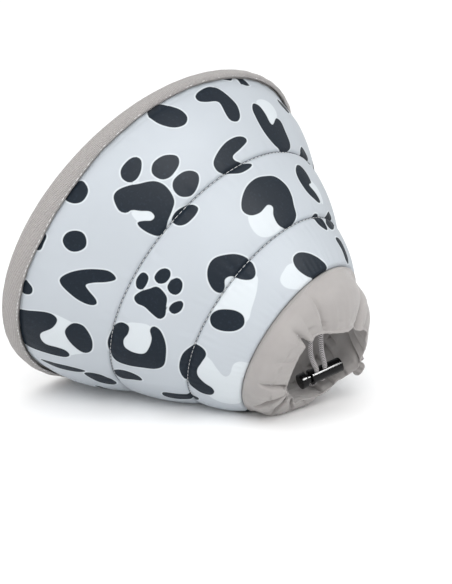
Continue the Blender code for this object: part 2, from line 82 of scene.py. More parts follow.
# Cuff: reach past the seam, swell of its outside, radius of its mouth, wall
CUFF_REACH = 0.020
CUFF_SWELL = 0.0030
MOUTH_RADIUS = 0.0272
CUFF_WALL = 0.0012
CUFF_SECTION = (
    # (reach, way in, swell)
    (0.12, 0.00, 0.55), (0.30, 0.00, 1.00), (0.50, 0.03, 1.15), (0.68, 0.14, 1.10),
    (0.82, 0.33, 0.90), (0.93, 0.58, 0.60), (1.00, 0.82, 0.25), (0.97, 0.98, 0.00),
    (0.86, 1.00, 0.00), (0.70, 0.93, 0.00), (0.50, 0.78, 0.00), (0.30, 0.56, 0.00),
    (0.12, 0.34, 0.00),
)
OUTSIDE_ROWS = 7
LIP = (
    # (angle, reach, radius, swell)
    (0.0, 1.08, 0.86, -0.5), (30.0, 1.12, 0.88, -1.2), (60.0, 1.20, 0.98, -1.2),
    (90.0, 1.23, 1.04, -0.5), (112.0, 1.17, 1.06, -0.1), (145.0, 1.02, 1.02, -0.3),
    (180.0, 0.88, 0.96, -0.7), (215.0, 0.82, 0.99, -0.8), (240.0, 0.84, 1.05, -0.3),
    (275.0, 0.80, 1.10, 0.2), (305.0, 0.76, 1.10, 0.2), (335.0, 0.96, 0.90, 0.0),
)
GATHER_DEPTH = 0.0022
GATHER_FADE = 1.5
GATHERS = (
    # (angle, half width, depth)
    (18.0, 9.0, 0.90), (62.0, 8.0, 0.55), (97.0, 8.0, 0.50), (124.0, 7.0, 1.00),
    (152.0, 9.0, 0.55), (184.0, 9.0, 0.60), (212.0, 7.0, 0.90), (236.0, 8.0, 1.00),
    (268.0, 10.0, 0.40), (302.0, 7.0, 1.00), (342.0, 10.0, 0.50),
)

# Cord lock, drawcord and strip end, as the solids have them
BARREL_LENGTH = 0.0190
BARREL_RADIUS = 0.0039
FLANGE_RADIUS = 0.0043
FLANGE_LENGTH = 0.0014
BORE_RADIUS = 0.0029
BUTTON_RADIUS = 0.0042
BUTTON_LENGTH = 0.0040
BUTTON_TRAVEL = 0.0022
STEM_LENGTH = 0.0125
CORD_HOLES = (0.0036, 0.0088)
CORD_RADIUS = 0.0012
CORD_CLEARANCE = 0.0004
CORD_END_GAP = 0.0009
KNOT_RADIUS = 0.0028
BARREL_START = BUTTON_LENGTH + BUTTON_TRAVEL + GAP
BUTTON_END = (0.0120, -0.0193, -0.0020)
BARREL_END = (0.0190, -0.0086, 0.0195)
KNOT_PLACE = (0.0070, -0.0260, 0.0155)
CORD_ABOVE_LOCK = (
    ((0.0128, 0.0030, -0.0078), (0.0107, 0.0222, -0.0183)),
    ((0.0142, 0.0070, -0.0026), (0.0116, 0.0260, -0.0126)),
)
CORD_BELOW_LOCK = (
    ((0.0134, -0.0238, 0.0112), (0.0106, -0.0256, 0.0132)),
    ((0.0146, -0.0209, 0.0158), (0.0116, -0.0244, 0.0176)),
)
CORD_STRAIGHT = 0.0053
CORD_INTO_SLIT = (((316.0, 0.42), (308.0, 0.85)), ((338.0, 0.42), (346.0, 0.85)))
CORD_SEAT = 0.66
CORD_SEAT_WAY_IN = 0.97
TURN_START, TURN_END, TURN_STEP = 298.0, -4.0, -20.0
TAB_ANGLE = 105.0
TAB_LENGTH = 0.0078
TAB_WIDTH = 0.0050
TAB_THICKNESS = 0.0014
TAB_ROUNDING = 0.9

# The camera, fitted to the rim, the quilt lines and the seam of the photo, before the
# collar was centred: place, turn round Z and drop in degrees, focal length in pixels
CAMERA_PLACE = (0.46759, -0.48063, 0.22415)
CAMERA_TURN = 38.0
CAMERA_DROP = 14.5
CAMERA_FOCAL = 1154.4
CAMERA_OFFSET = (1.2, -10.7)
IMAGE_WIDTH = 452
IMAGE_HEIGHT = 584
SENSOR = 36.0

# Flat cloth of the print, in mm: the cone cut open at the closure and laid flat, its
# apex at (0, 0), the middle of the near side on the Y axis, the top of the cone to +X
CUT_ANGLE = 110.0
MIDDLE_ANGLE = CUT_ANGLE + 180.0

# Printed figures by group: the ink and the plain white that each has, as the points of
# smooth closed outlines on the flat cloth, in mm
PRINT = (
    ("large paw",
     ("ink", (20.5, 186), (24.5, 186.5), (29, 183.5), (32, 180), (35, 177), (37, 174), (37.5, 170),
      (36, 165.5), (33, 161.5), (28.5, 160), (23, 159), (18, 157.5), (14.5, 159), (13.5, 163.5),
      (14, 168.5), (15.5, 170.5), (17.5, 168.5), (19.5, 165.5), (22, 165.5), (23, 168.5),
      (21, 172.5), (19.5, 176), (17, 177.5), (16.5, 181)),
     ("ink", (43.5, 188), (43, 185), (38.5, 182.5), (34, 182), (31, 183.5), (30.5, 186),
      (31.5, 188.5), (35, 190.5), (40.5, 190)),
     ("ink", (52.5, 175), (53.5, 171.5), (50, 169), (44, 169), (40.5, 170.5), (39, 173.5),
      (40, 177.5), (44.5, 179.5), (49.5, 178)),
     ("ink", (50.5, 162.5), (51, 159), (48, 156.5), (43, 155.5), (39, 156.5), (36.5, 160.5),
      (38, 165), (42, 167), (47.5, 165.5)),
     ("ink", (36, 153), (35.5, 150), (31.5, 149.5), (26, 151), (23.5, 154), (24.5, 157.5),
      (29, 158), (34, 155.5)),
     ("white", (21, 173.5), (18.5, 175.5), (17, 174), (16, 171), (17, 168), (19.5, 165), (23.5, 167))),
    ("top bean",
     ("ink", (69, 195.5), (74, 195), (77.5, 192), (79, 187.5), (79, 182), (76.5, 178), (72, 177),
      (68, 179.5), (66, 184), (66, 189.5))),
    ("rim dot",
     ("ink", (20.5, 203.5), (20, 200), (17, 197.5), (12, 197.5), (9, 200.5), (9, 205), (14, 208))),
    ("left dot",
     ("ink", (-2.5, 193), (-1.5, 189.5), (-3.5, 186.5), (-7, 185), (-10.5, 186.5), (-12.5, 189.5),
      (-12, 193), (-9.5, 195.5), (-5.5, 195.5))),
    ("top boomerang",
     ("ink", (107, 174.5), (107, 170), (104.5, 164), (101, 159), (95.5, 155.5), (91, 155.5),
      (89, 159), (92, 163.5), (96, 167.5), (96, 170), (92.5, 173.5), (90.5, 177), (92.5, 179.5),
      (97, 179.5), (103, 177.5))),
    ("hook",
     ("ink", (84.5, 148.5), (83.5, 146), (77, 147), (70.5, 148.5), (69, 146), (71.5, 141),
      (73, 138), (70, 138), (64, 141), (60, 146.5), (58, 151), (60.5, 155), (67, 156),
      (75, 155), (81.5, 152))),
    ("long notched",
     ("ink", (112.5, 151.5), (114, 148), (111.5, 143), (108, 138.5), (109, 136.5), (116, 136),
      (117.5, 132.5), (113.5, 127.5), (109.5, 122), (105, 120.5), (99.5, 123.5), (97, 128),
      (96.5, 135), (99, 142), (104.5, 149), (108.5, 151.5)),
     ("white", (115, 150.5), (121.5, 148.5), (125, 143), (121.5, 137), (112, 135.5),
      (107.5, 138.5), (111, 145))),
    ("round hook",
     ("ink", (70.5, 129), (74, 124), (73.5, 117), (70, 112), (65.5, 108.5), (61.5, 105),
      (56.5, 104.5), (51.5, 107), (50, 111.5), (52.5, 116), (56.5, 118.5), (55.5, 121.5),
      (49.5, 123), (45.5, 126.5), (45.5, 131), (50.5, 134), (58, 135), (65.5, 133)),
     ("white", (58, 121), (55, 115), (51.5, 109), (47, 109), (40, 114.5), (39, 120),
      (42, 125.5), (46.5, 127.5), (52, 124))),
    ("narrow notched",
     ("ink", (94.5, 114.5), (97.5, 112), (96, 107), (92, 103), (88, 104), (87.5, 98),
      (86, 93.5), (83, 95), (81.5, 103), (84, 110), (88.5, 114)),
     ("white", (93, 104.5), (89, 104), (87, 98), (86, 91.5), (90, 91), (94, 97))),
    ("small bean",
     ("ink", (71.5, 95), (75, 93.5), (76, 90), (72.5, 86.5), (69, 85), (67.5, 89), (68.5, 92.5))),
    ("far bean", ("ink", (90, 83.5), (89, 78.5), (80, 79), (73, 82), (74, 86), (82, 85.5))),
    ("rim slivers",
     ("ink", (116.5, 174.5), (119.5, 170), (123, 166.5), (125.5, 168), (122, 173)),
     ("ink", (125.5, 166.5), (130.5, 163.5), (134, 158.5), (132, 156), (127.5, 158), (126, 162))),
    ("far sliver",
     ("ink", (68.5, 78), (66.5, 72), (64, 66.5), (66, 63.5), (70, 66.5), (73, 72), (72, 76.5))),
    ("half dot",
     ("ink", (-41.5, 201), (-41.5, 198), (-43, 195.5), (-46.5, 195), (-49.5, 198), (-48.5, 203))),
    ("boomerang",
     ("ink", (-13, 172), (-12.5, 168), (-14.5, 165), (-18, 168), (-21.5, 173), (-24.5, 175.5),
      (-26.5, 173), (-29, 168), (-31.5, 166.5), (-33.5, 169), (-34, 174), (-33, 179.5),
      (-31, 185), (-28, 187), (-22.5, 184.5), (-17, 179))),
    ("notched bean",
     ("ink", (-64, 196.5), (-57, 191), (-51.5, 185), (-50, 181), (-52, 178), (-58.5, 178),
      (-67, 181), (-72, 180), (-74.5, 176.5), (-72, 171), (-71, 166.5), (-73.5, 163.5),
      (-77.5, 165), (-82, 172), (-88, 179.5), (-92, 186), (-88, 192), (-76, 198)),
     ("white", (-50, 182), (-48.5, 176), (-49, 169), (-53, 172.5), (-60, 169), (-64.5, 158),
      (-70, 161), (-74, 164.5), (-72, 172), (-74, 179), (-66, 182), (-57, 180))),
    ("egg",
     ("ink", (-49, 171), (-47, 167), (-49, 163), (-54, 158.5), (-61, 156), (-65.5, 157.5),
      (-65.5, 161.5), (-61.5, 168), (-56, 172))),
    ("small paw",
     ("ink", (-7.5, 147), (-7.5, 144), (-9.5, 140), (-13.5, 138), (-18, 136), (-21, 137.5),
      (-20.5, 142), (-19.5, 146.5), (-20, 150.5), (-18, 153), (-14, 152), (-10, 149)),
     ("ink", (-4.5, 155), (-5.5, 152.5), (-9, 151.5), (-12.5, 152), (-13, 154.5), (-10, 156.5),
      (-6, 156.5)),
     ("ink", (2.5, 148), (2.5, 145.5), (0, 144), (-3.5, 144.5), (-5.5, 147), (-4, 150), (0, 150)),
     ("ink", (1.5, 140.5), (0.5, 137.5), (-3, 136), (-6, 137), (-6.5, 140), (-4.5, 142.5),
      (-1, 142.5)),
     ("ink", (-7.5, 133.5), (-8.5, 131.5), (-12, 131), (-15, 133), (-14, 136), (-10.5, 136))),
    ("horseshoe",
     ("ink", (-34, 151), (-34, 147.5), (-38, 146), (-43, 146), (-47, 143.5), (-47, 138.5),
      (-44, 134), (-39, 133.5), (-33, 135), (-29, 138), (-26, 137.5), (-26.5, 133.5),
      (-31, 128.5), (-37, 125), (-44.5, 122.5), (-50, 124.5), (-54.5, 130.5), (-59, 137),
      (-61, 142.5), (-58, 147.5), (-51, 151.5), (-43, 153), (-37, 153)),
     ("white", (-33, 149), (-29.5, 145.5), (-27, 140), (-29, 135.5), (-37, 131), (-46, 132.5),
      (-50, 140), (-47, 147), (-39, 148))),
    ("under beans",
     ("ink", (-73, 140), (-67.5, 138.5), (-64, 134.5), (-63, 129), (-65.5, 126), (-70, 130),
      (-76, 134), (-76.5, 138)),
     ("ink", (-88, 151), (-83, 149), (-82.5, 142), (-88, 134), (-94, 134), (-95, 142))),
    ("long sliver", ("ink", (-98, 173), (-91, 169), (-85, 160), (-83, 152), (-89, 155), (-95, 164))),
    ("low bean", ("ink", (-70, 112), (-66, 105), (-61.5, 96), (-68, 95), (-75, 103), (-76, 110))),
    ("left sliver", ("ink", (-12.5, 203), (-16.5, 202.2), (-21, 202), (-22, 206), (-13, 206))),
    ("crescent",
     ("ink", (-24.5, 115.5), (-23.5, 111.5), (-25.5, 108.5), (-31, 108), (-36.5, 107.5),
      (-40.5, 105), (-42.5, 100), (-43, 95.5), (-45.5, 93), (-49.5, 93.5), (-52, 98),
      (-51, 105), (-46.5, 111.5), (-40, 116), (-31.5, 118)),
     ("white", (-26.5, 110), (-26.5, 105), (-29, 100), (-31, 94.5), (-28, 93), (-22, 94.5),
      (-18.5, 92), (-19, 86), (-30, 80), (-45, 76), (-53, 84), (-50, 96), (-42, 108), (-33, 111))),
    ("round crescent",
     ("ink", (24, 124.5), (26, 119), (25.5, 114), (22, 110), (18.5, 110), (16, 114), (15, 119),
      (12, 121), (8.5, 119), (5.5, 119), (5, 123), (8, 128), (13, 131), (18.5, 130.5)),
     ("white", (12, 123), (16, 119), (18, 112), (21, 108.5), (15, 105), (6.5, 102.5),
      (1, 101), (-5, 104), (-9, 112), (-6, 118), (2, 117.5), (7, 120))),
    ("near egg",
     ("ink", (-0.5, 113.5), (1.8, 108.5), (1.5, 104), (-2, 101.5), (-6.5, 103.5), (-10, 109),
      (-10.5, 114), (-7.5, 117), (-3.5, 116.5))),
    ("cuff egg",
     ("ink", (44.5, 93), (46.5, 87.5), (47, 80), (43.5, 75.5), (38, 79.5), (34.5, 86), (34.5, 93),
      (37.5, 97), (41.5, 96.5)),
     ("white", (36, 96), (29.5, 98.5), (24.5, 97.5), (23.5, 92.5), (28, 85), (38, 77), (45, 80))),
)

# Where the chart comes again on the side away from the camera: shift in mm, turn in degrees
PRINT_AGAIN = ((104.0, -96.0, -42.0), (-92.0, -68.0, 48.0), (150.0, -60.0, 15.0),
               (-140.0, -120.0, 60.0), (60.0, -150.0, -70.0), (120.0, -160.0, 30.0))
FIGURE_SPACE = 2.5


def linear(code):
    """Linear colour of an sRGB hex value."""
    parts = [int(code[place:place + 2], 16) / 255.0 for place in (0, 2, 4)]
    return tuple(p / 12.92 if p <= 0.04045 else ((p + 0.055) / 1.055) ** 2.4 for p in parts)


class CollarColours(bpy.types.PropertyGroup):
    """Colours of the collar's cloths, trims and plastic."""

    cloth: bpy.props.FloatVectorProperty(
        name="Cloth", description="Ground colour of the printed cloth",
        subtype="COLOR", size=3, default=linear("B7BDC3"), min=0.0, max=1.0)
    ink: bpy.props.FloatVectorProperty(
        name="Ink", description="Colour of the printed figures",
        subtype="COLOR", size=3, default=linear("1A222B"), min=0.0, max=1.0)
    white: bpy.props.FloatVectorProperty(
        name="White", description="Colour of the plain figures and of the line round the ink",
        subtype="COLOR", size=3, default=linear("CAD0D4"), min=0.0, max=1.0)
    tape: bpy.props.FloatVectorProperty(
        name="Tape", description="Colour of the binding tape",
        subtype="COLOR", size=3, default=linear("A09C9A"), min=0.0, max=1.0)
    cuff: bpy.props.FloatVectorProperty(
        name="Cuff", description="Colour of the neck cuff",
        subtype="COLOR", size=3, default=linear("9D9997"), min=0.0, max=1.0)
    plastic: bpy.props.FloatVectorProperty(
        name="Plastic", description="Colour of the cord lock",
        subtype="COLOR", size=3, default=linear("0B0B0C"), min=0.0, max=1.0)
    cord: bpy.props.FloatVectorProperty(
        name="Cord", description="Lighter colour of the braided cord",
        subtype="COLOR", size=3, default=linear("BAB6B7"), min=0.0, max=1.0)


class CollarSizes(bpy.types.PropertyGroup):
    """Sizes of the collar's finish."""

    stitch_pitch: bpy.props.FloatProperty(
        name="Stitch pitch", description="Distance from one stitch to the next",
        default=0.0030, min=0.001, max=0.01, unit="LENGTH")
    thread: bpy.props.FloatProperty(
        name="Thread", description="Thickness of the sewing thread",
        default=0.00032, min=0.0001, max=0.002, unit="LENGTH")
    halo: bpy.props.FloatProperty(
        name="White line", description="Width of the white line round the ink, in mm",
        default=0.7, min=0.0, max=4.0)
    # Strength of the painted shade that darkens the cloth along the quilt lines' creases
    crease_painted_shade: bpy.props.FloatProperty(
        name="Crease", description="Darkness of the quilt lines' creases",
        default=0.75, min=0.0, max=1.0, subtype="FACTOR")
    groove: bpy.props.FloatProperty(
        name="Groove", description="Depth that the quilting stitches pull in",
        default=0.0010, min=0.0, max=0.003, unit="LENGTH")
    pucker: bpy.props.FloatProperty(
        name="Pucker", description="Height of the small puckers beside the quilt lines",
        default=0.00010, min=0.0, max=0.003, unit="LENGTH")


def radians(degrees):
    """Radians of an array of degrees."""
    return np.asarray(degrees, float) * math.pi / 180.0


def along_and_out(along, out):
    """Axial distance and radius of points on the slanted wall."""
    axial = along * math.cos(HALF_ANGLE) + out * math.sin(HALF_ANGLE)
    radius = RIM_RADIUS - along * math.sin(HALF_ANGLE) + out * math.cos(HALF_ANGLE)
    return axial, radius


def oval_points(degrees, axial, radius):
    """Points of the collar before the ground presses on it."""
    degrees, axial, radius = np.broadcast_arrays(degrees, axial, radius)
    share = np.clip(axial / CONE_DEPTH, 0.0, 1.0)
    height = RIM_HEIGHT + (NECK_HEIGHT - RIM_HEIGHT) * share
    turn = radians(degrees)
    up = RIM_CENTRE_UP + radius * height * np.cos(turn)
    side = radius * (2.0 - height) * np.sin(turn)
    points = axial[..., None] * DIRECTION + up[..., None] * UP + side[..., None] * SIDE
    points[..., 2] -= SETTLE
    return points


def round_table(table, degrees, column):
    """Smooth values of one column of a table whose rows go round by angle."""
    angles = np.array([row[0] for row in table] + [table[0][0] + 360.0])
    values = np.array([row[column] for row in table] + [table[0][column]])
    turned = np.mod(np.asarray(degrees, float), 360.0)
    place = np.clip(np.searchsorted(angles, turned, side="right") - 1, 0, len(table) - 1)
    part = (turned - angles[place]) / (angles[place + 1] - angles[place])
    return values[place] + (values[place + 1] - values[place]) * part * part * (3.0 - 2.0 * part)


def gather(degrees):
    """Depth of the gathers at some angles."""
    depth = np.zeros_like(np.asarray(degrees, float))
    for centre, half_width, share in GATHERS:
        away = np.abs(np.mod(degrees - centre + 180.0, 360.0) - 180.0) / half_width
        depth += share * np.exp(-away * away)
    return GATHER_DEPTH * depth


def cuff_radius(degrees, reach, way_in, swell):
    """Radius of points of the cuff's section at some angles."""
    lip_radius = MOUTH_RADIUS * round_table(LIP, degrees, 2)
    grooves = gather(degrees) * reach ** GATHER_FADE
    swollen = CUFF_SWELL * swell * round_table(LIP, degrees, 3)
    return NECK_RADIUS + (lip_radius - NECK_RADIUS) * way_in + swollen - grooves


def cuff_outside(degrees, axial):
    """Outer radius of the cuff at distances along the axis."""
    rows = np.array([(0.0, 0.0, 0.0)] + list(CUFF_SECTION[:OUTSIDE_ROWS]))
    share = (axial - CONE_DEPTH) / (CUFF_REACH * round_table(LIP, degrees, 1))
    share = np.clip(share, 0.0, 1.0)
    return cuff_radius(degrees, share, np.interp(share, rows[:, 0], rows[:, 1]),
                       np.interp(share, rows[:, 0], rows[:, 2]))


def settled_points(degrees, axial, radius):
    """Points of the collar as it lies, the wall lifted onto the ground as one."""
    degrees, axial, radius = np.broadcast_arrays(degrees, axial, radius)
    points = oval_points(degrees, axial, radius)
    cone = RIM_RADIUS - (RIM_RADIUS - NECK_RADIUS) * axial / CONE_DEPTH
    envelope = np.where(axial <= CONE_DEPTH, cone, cuff_outside(degrees, axial))
    depth = -oval_points(degrees, axial, envelope)[..., 2]
    points[..., 2] = np.maximum(points[..., 2] + np.maximum(depth, 0.0), 0.0)
    points[..., 0] += CENTRE_SHIFT
    return points


def first_shift():
    """How far along X the solids were moved to stand over their origin."""
    edge = TAPE_THICKNESS + GAP
    axial, radius = along_and_out(edge, -edge)
    flat = oval_points(180.0, np.array(axial), np.array(radius))
    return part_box("padded_cone")[0].x - float(flat[0])


CENTRE_SHIFT = first_shift()


def cuff_point(place):
    """World point of a place given along the axis from the seam, up and side."""
    past_seam, up, side = place
    point = (CONE_DEPTH + past_seam) * DIRECTION + (RIM_CENTRE_UP + up) * UP + side * SIDE
    return Vector(point) + Vector((CENTRE_SHIFT, 0.0, -SETTLE))


def ripple(degrees, slow, fast, waves, seed):
    """Irregular ripple round the collar, made of whole waves with fixed random phases."""
    chance = np.random.default_rng(seed)
    total = np.zeros_like(np.asarray(degrees, float))
    for _ in range(waves):
        total += chance.uniform(0.5, 1.0) * np.sin(
            chance.integers(slow, fast) * radians(degrees) + chance.uniform(0.0, 2.0 * math.pi))
    return total / math.sqrt(waves)


def grid_mesh(name, points, uv=None):
    """Closed mesh of a grid of points whose two ways both go round; uv per corner."""
    columns, rows = points.shape[:2]
    mesh = bpy.data.meshes.new(name)
    column, row = np.meshgrid(np.arange(columns), np.arange(rows), indexing="ij")
    after, below = (column + 1) % columns, (row + 1) % rows
    quads = np.stack([column * rows + row, column * rows + below, after * rows + below,
                      after * rows + row], axis=-1).reshape(-1, 4)
    mesh.from_pydata(points.reshape(-1, 3).tolist(), [], quads.tolist())
    if uv is not None:
        # uv has one more column and one more row than points, so that it can end at the cut
        corners = np.stack([uv[:-1, :-1], uv[:-1, 1:], uv[1:, 1:], uv[1:, :-1]], axis=2)
        layer = mesh.uv_layers.new(name="cloth")
        layer.data.foreach_set("uv", corners.reshape(-1).astype(np.float32))
    outward(mesh)
    mesh.shade_smooth()
    return mesh


def outward(mesh):
    """Turn the faces of a closed mesh outwards."""
    work = bmesh.new()
    work.from_mesh(mesh)
    if work.calc_volume(signed=True) < 0.0:
        bmesh.ops.reverse_faces(work, faces=work.faces)
    work.to_mesh(mesh)
    work.free()


def link(name, data, *materials):
    """Link a mesh or curve as an object of the scene, with its materials."""
    made = bpy.data.objects.new(name, data)
    bpy.context.scene.collection.objects.link(made)
    data.materials.clear()
    for look in materials:
        data.materials.append(look)
    return made


def dress(obj, slot, body, *nodes):
    """Ride on a body and stand for the named nodes; slot is not used."""
    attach(obj, body)
    if nodes:
        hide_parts(*nodes)
    return obj


def add(tree, kind, inputs=None, **settings):
    """Add a node with its settings; inputs are values or the sockets that feed them."""
    made = tree.nodes.new(kind)
    for key, value in settings.items():
        setattr(made, key, value)
    for key, value in (inputs or {}).items():
        if isinstance(value, bpy.types.NodeSocket):
            tree.links.new(value, made.inputs[key])
        elif made.inputs[key].type == "RGBA":
            made.inputs[key].default_value = (*value, 1.0)
        else:
            made.inputs[key].default_value = value
    return made


def new_material(name, **sockets):
    """A material with a Principled shader; returns it, its tree and the shader."""
    made = bpy.data.materials.new(name)
    made.use_nodes = True
    shader = made.node_tree.nodes["Principled BSDF"]
    for key, value in sockets.items():
        shader.inputs[key.replace("_", " ")].default_value = value
    return made, made.node_tree, shader


def toned(colour, share):
    """A colour made lighter or darker by a share."""
    return tuple(min(part * share, 1.0) for part in colour)


def weave_height(tree, spacing, place, turn=0.0):
    """Height of a plain weave, its threads a spacing apart, on a map in metres."""
    waves = 2.0 * math.pi / spacing
    laid = add(tree, "ShaderNodeMapping", {"Vector": place, "Rotation": (0.0, 0.0, turn),
                                           "Scale": (waves, waves, waves)}).outputs[0]
    parts = add(tree, "ShaderNodeSeparateXYZ", {0: laid})
    warp = add(tree, "ShaderNodeMath", {0: parts.outputs[0]}, operation="SINE").outputs[0]
    weft = add(tree, "ShaderNodeMath", {0: parts.outputs[1]}, operation="SINE").outputs[0]
    return add(tree, "ShaderNodeMath", {0: warp, 1: weft}, operation="MULTIPLY").outputs[0]


def printed_polyester(colours, sizes):
    """Polyester taffeta, heat-printed."""
    # Fine filament threads: smooth, faintly silky, with the transfer ink lying matt on it
    made, tree, shader = new_material("printed_polyester_taffeta", Roughness=0.55,
                                      Specular_IOR_Level=0.12)
    ink = add(tree, "ShaderNodeAttribute", attribute_name="ink_mm").outputs["Fac"]
    plain = add(tree, "ShaderNodeAttribute", attribute_name="white_mm").outputs["Fac"]
    quilt = add(tree, "ShaderNodeAttribute", attribute_name="quilt_mm").outputs["Fac"]
    place = add(tree, "ShaderNodeTexCoord").outputs["Object"]
    cloudy = add(tree, "ShaderNodeTexNoise", {"Vector": place, "Scale": 22.0, "Detail": 2.0})
    tint = add(tree, "ShaderNodeMapRange", {"Value": cloudy.outputs["Fac"], "From Min": 0.35,
                                            "From Max": 0.7}).outputs[0]
    ground = add(tree, "ShaderNodeMix", {0: tint, 6: toned(colours.cloth, 0.955),
                                         7: colours.cloth}, data_type="RGBA").outputs[2]
    patch = add(tree, "ShaderNodeMapRange", {"Value": plain, "From Min": 0.3, "From Max": -0.3},
                interpolation_type="SMOOTHSTEP").outputs[0]
    with_white = add(tree, "ShaderNodeMix", {0: patch, 6: ground, 7: colours.white},
                     data_type="RGBA").outputs[2]
    line = add(tree, "ShaderNodeMapRange", {"Value": ink, "From Min": sizes.halo + 0.45,
                                            "From Max": sizes.halo - 0.25, "To Max": 0.9},
               interpolation_type="SMOOTHSTEP").outputs[0]
    with_line = add(tree, "ShaderNodeMix", {0: line, 6: with_white, 7: colours.white},
                    data_type="RGBA").outputs[2]
    grain = add(tree, "ShaderNodeTexNoise", {"Vector": place, "Scale": 700.0, "Detail": 1.0})
    thin = add(tree, "ShaderNodeMapRange", {"Value": grain.outputs["Fac"], "From Min": 0.55,
                                            "From Max": 0.8}).outputs[0]
    worn = add(tree, "ShaderNodeMix", {0: thin, 6: colours.ink, 7: toned(colours.ink, 1.5)},
               data_type="RGBA").outputs[2]
    inked = add(tree, "ShaderNodeMapRange", {"Value": ink, "From Min": 0.3, "From Max": -0.1},
                interpolation_type="SMOOTHSTEP").outputs[0]
    printed = add(tree, "ShaderNodeMix", {0: inked, 6: with_line, 7: worn},
                  data_type="RGBA").outputs[2]
    # Painted shade: the cloth is darkened along the quilt lines, standing in for the shade in their creases
    crease_painted_shade = add(tree, "ShaderNodeMapRange", {"Value": quilt, "From Min": 0.65, "From Max": 0.15,
                                              "To Max": sizes.crease_painted_shade},
                 interpolation_type="SMOOTHSTEP").outputs[0]
    with_painted_crease_shade = add(tree, "ShaderNodeMix", {0: crease_painted_shade, 6: printed, 7: toned(colours.ink, 1.6)},
                  data_type="RGBA").outputs[2]
    tree.links.new(with_painted_crease_shade, shader.inputs["Base Color"])
    # Threads of the real cloth are 0.15 mm apart; drawn 0.6 mm apart so that they show
    cloth = add(tree, "ShaderNodeUVMap", uv_map="cloth").outputs[0]
    bump = add(tree, "ShaderNodeBump", {"Height": weave_height(tree, 0.6 * MM, cloth),
                                        "Distance": 0.03 * MM, "Strength": 0.5})
    tree.links.new(bump.outputs[0], shader.inputs["Normal"])
    return made


def twill_tape(colours):
    """Cotton twill tape, woven."""
    # Slanting ribs of soft-spun yarn: matt and flecked, with painted shade darkening it between the ribs
    made, tree, shader = new_material("cotton_twill_tape", Roughness=0.88, Sheen_Weight=0.2,
                                      Sheen_Roughness=0.6)
    tape = add(tree, "ShaderNodeUVMap", uv_map="cloth").outputs[0]
    # Ribs of the real tape are 0.5 mm apart; drawn 1.2 mm apart so that they show
    ribs = weave_height(tree, 1.2 * MM, tape, math.radians(52.0))
    fleck = add(tree, "ShaderNodeTexNoise", {"Vector": tape, "Scale": 900.0, "Detail": 2.0})
    flecks_in_rib_shade = add(tree, "ShaderNodeMix", {0: fleck.outputs["Fac"], 6: toned(colours.tape, 0.45),
                                       7: toned(colours.tape, 1.15)}, data_type="RGBA").outputs[2]
    # Painted shade: the colour darkens where the ribs are low, standing in for the shade between them; the
    # flecks are the yarn's own
    height = add(tree, "ShaderNodeMapRange", {"Value": ribs, "From Min": -0.6, "From Max": 0.6,
                                              "To Max": 0.8})
    rib_painted_shade = add(tree, "ShaderNodeMix", {0: height.outputs[0], 6: flecks_in_rib_shade,
                                        7: toned(colours.tape, 1.15)}, data_type="RGBA")
    tree.links.new(rib_painted_shade.outputs[2], shader.inputs["Base Color"])
    bump = add(tree, "ShaderNodeBump", {"Height": ribs, "Distance": 0.2 * MM, "Strength": 0.8})
    tree.links.new(bump.outputs[0], shader.inputs["Normal"])
    return made


def cuff_cotton(colours):
    """Stretch cotton jersey, knitted and brushed."""
    # A short nap over fine knitted columns: soft, matt, with slight clouds of colour
    made, tree, shader = new_material("stretch_cotton_jersey", Roughness=0.92, Sheen_Weight=0.25,
                                      Sheen_Roughness=0.5)
    knit = add(tree, "ShaderNodeUVMap", uv_map="cloth").outputs[0]
    place = add(tree, "ShaderNodeTexCoord").outputs["Object"]
    cloudy = add(tree, "ShaderNodeTexNoise", {"Vector": place, "Scale": 70.0, "Detail": 4.0})
    colour = add(tree, "ShaderNodeMix", {0: cloudy.outputs["Fac"], 6: toned(colours.cuff, 0.86),
                                         7: toned(colours.cuff, 1.1)}, data_type="RGBA")
    tree.links.new(colour.outputs[2], shader.inputs["Base Color"])
    # Columns of the real knit are 0.4 mm apart; drawn 0.8 mm apart so that they show
    bump = add(tree, "ShaderNodeBump", {"Height": weave_height(tree, 0.8 * MM, knit),
                                        "Distance": 0.05 * MM, "Strength": 0.6})
    tree.links.new(bump.outputs[0], shader.inputs["Normal"])
    return made


def fastening_tape(colours):
    """Nylon fastening tape, woven."""
    # The stiff ground of a hook strip: coarse and dry, with painted shade in the gaps between its threads
    made, tree, shader = new_material("woven_nylon_tape", Roughness=0.75)
    place = add(tree, "ShaderNodeTexCoord").outputs["Object"]
    grid = weave_height(tree, 1.0 * MM, place, math.radians(40.0))
    # Painted shade: darker where the weave is low, standing in for the shade in the gaps between the threads
    gap_painted_shade = add(tree, "ShaderNodeMapRange", {"Value": grid, "From Min": -0.6, "From Max": 0.6})
    colour = add(tree, "ShaderNodeMix", {0: gap_painted_shade.outputs[0], 6: toned(colours.cuff, 0.65),
                                         7: toned(colours.cuff, 1.1)}, data_type="RGBA")
    tree.links.new(colour.outputs[2], shader.inputs["Base Color"])
    bump = add(tree, "ShaderNodeBump", {"Height": grid, "Distance": 0.2 * MM, "Strength": 0.8})
    tree.links.new(bump.outputs[0], shader.inputs["Normal"])
    return made


def moulded_acetal(colours):
    """Acetal, injection-moulded."""
    # Close to black and glossy from the polished mould, with the faintest ripple of flow
    made, tree, shader = new_material("moulded_acetal", Roughness=0.1, Specular_IOR_Level=0.2,
                                      Base_Color=(*colours.plastic, 1.0))
    place = add(tree, "ShaderNodeTexCoord").outputs["Object"]
    flow = add(tree, "ShaderNodeTexNoise", {"Vector": place, "Scale": 300.0, "Detail": 2.0})
    bump = add(tree, "ShaderNodeBump", {"Height": flow.outputs["Fac"], "Distance": 0.02 * MM,
                                        "Strength": 0.3})
    tree.links.new(bump.outputs[0], shader.inputs["Normal"])
    return made


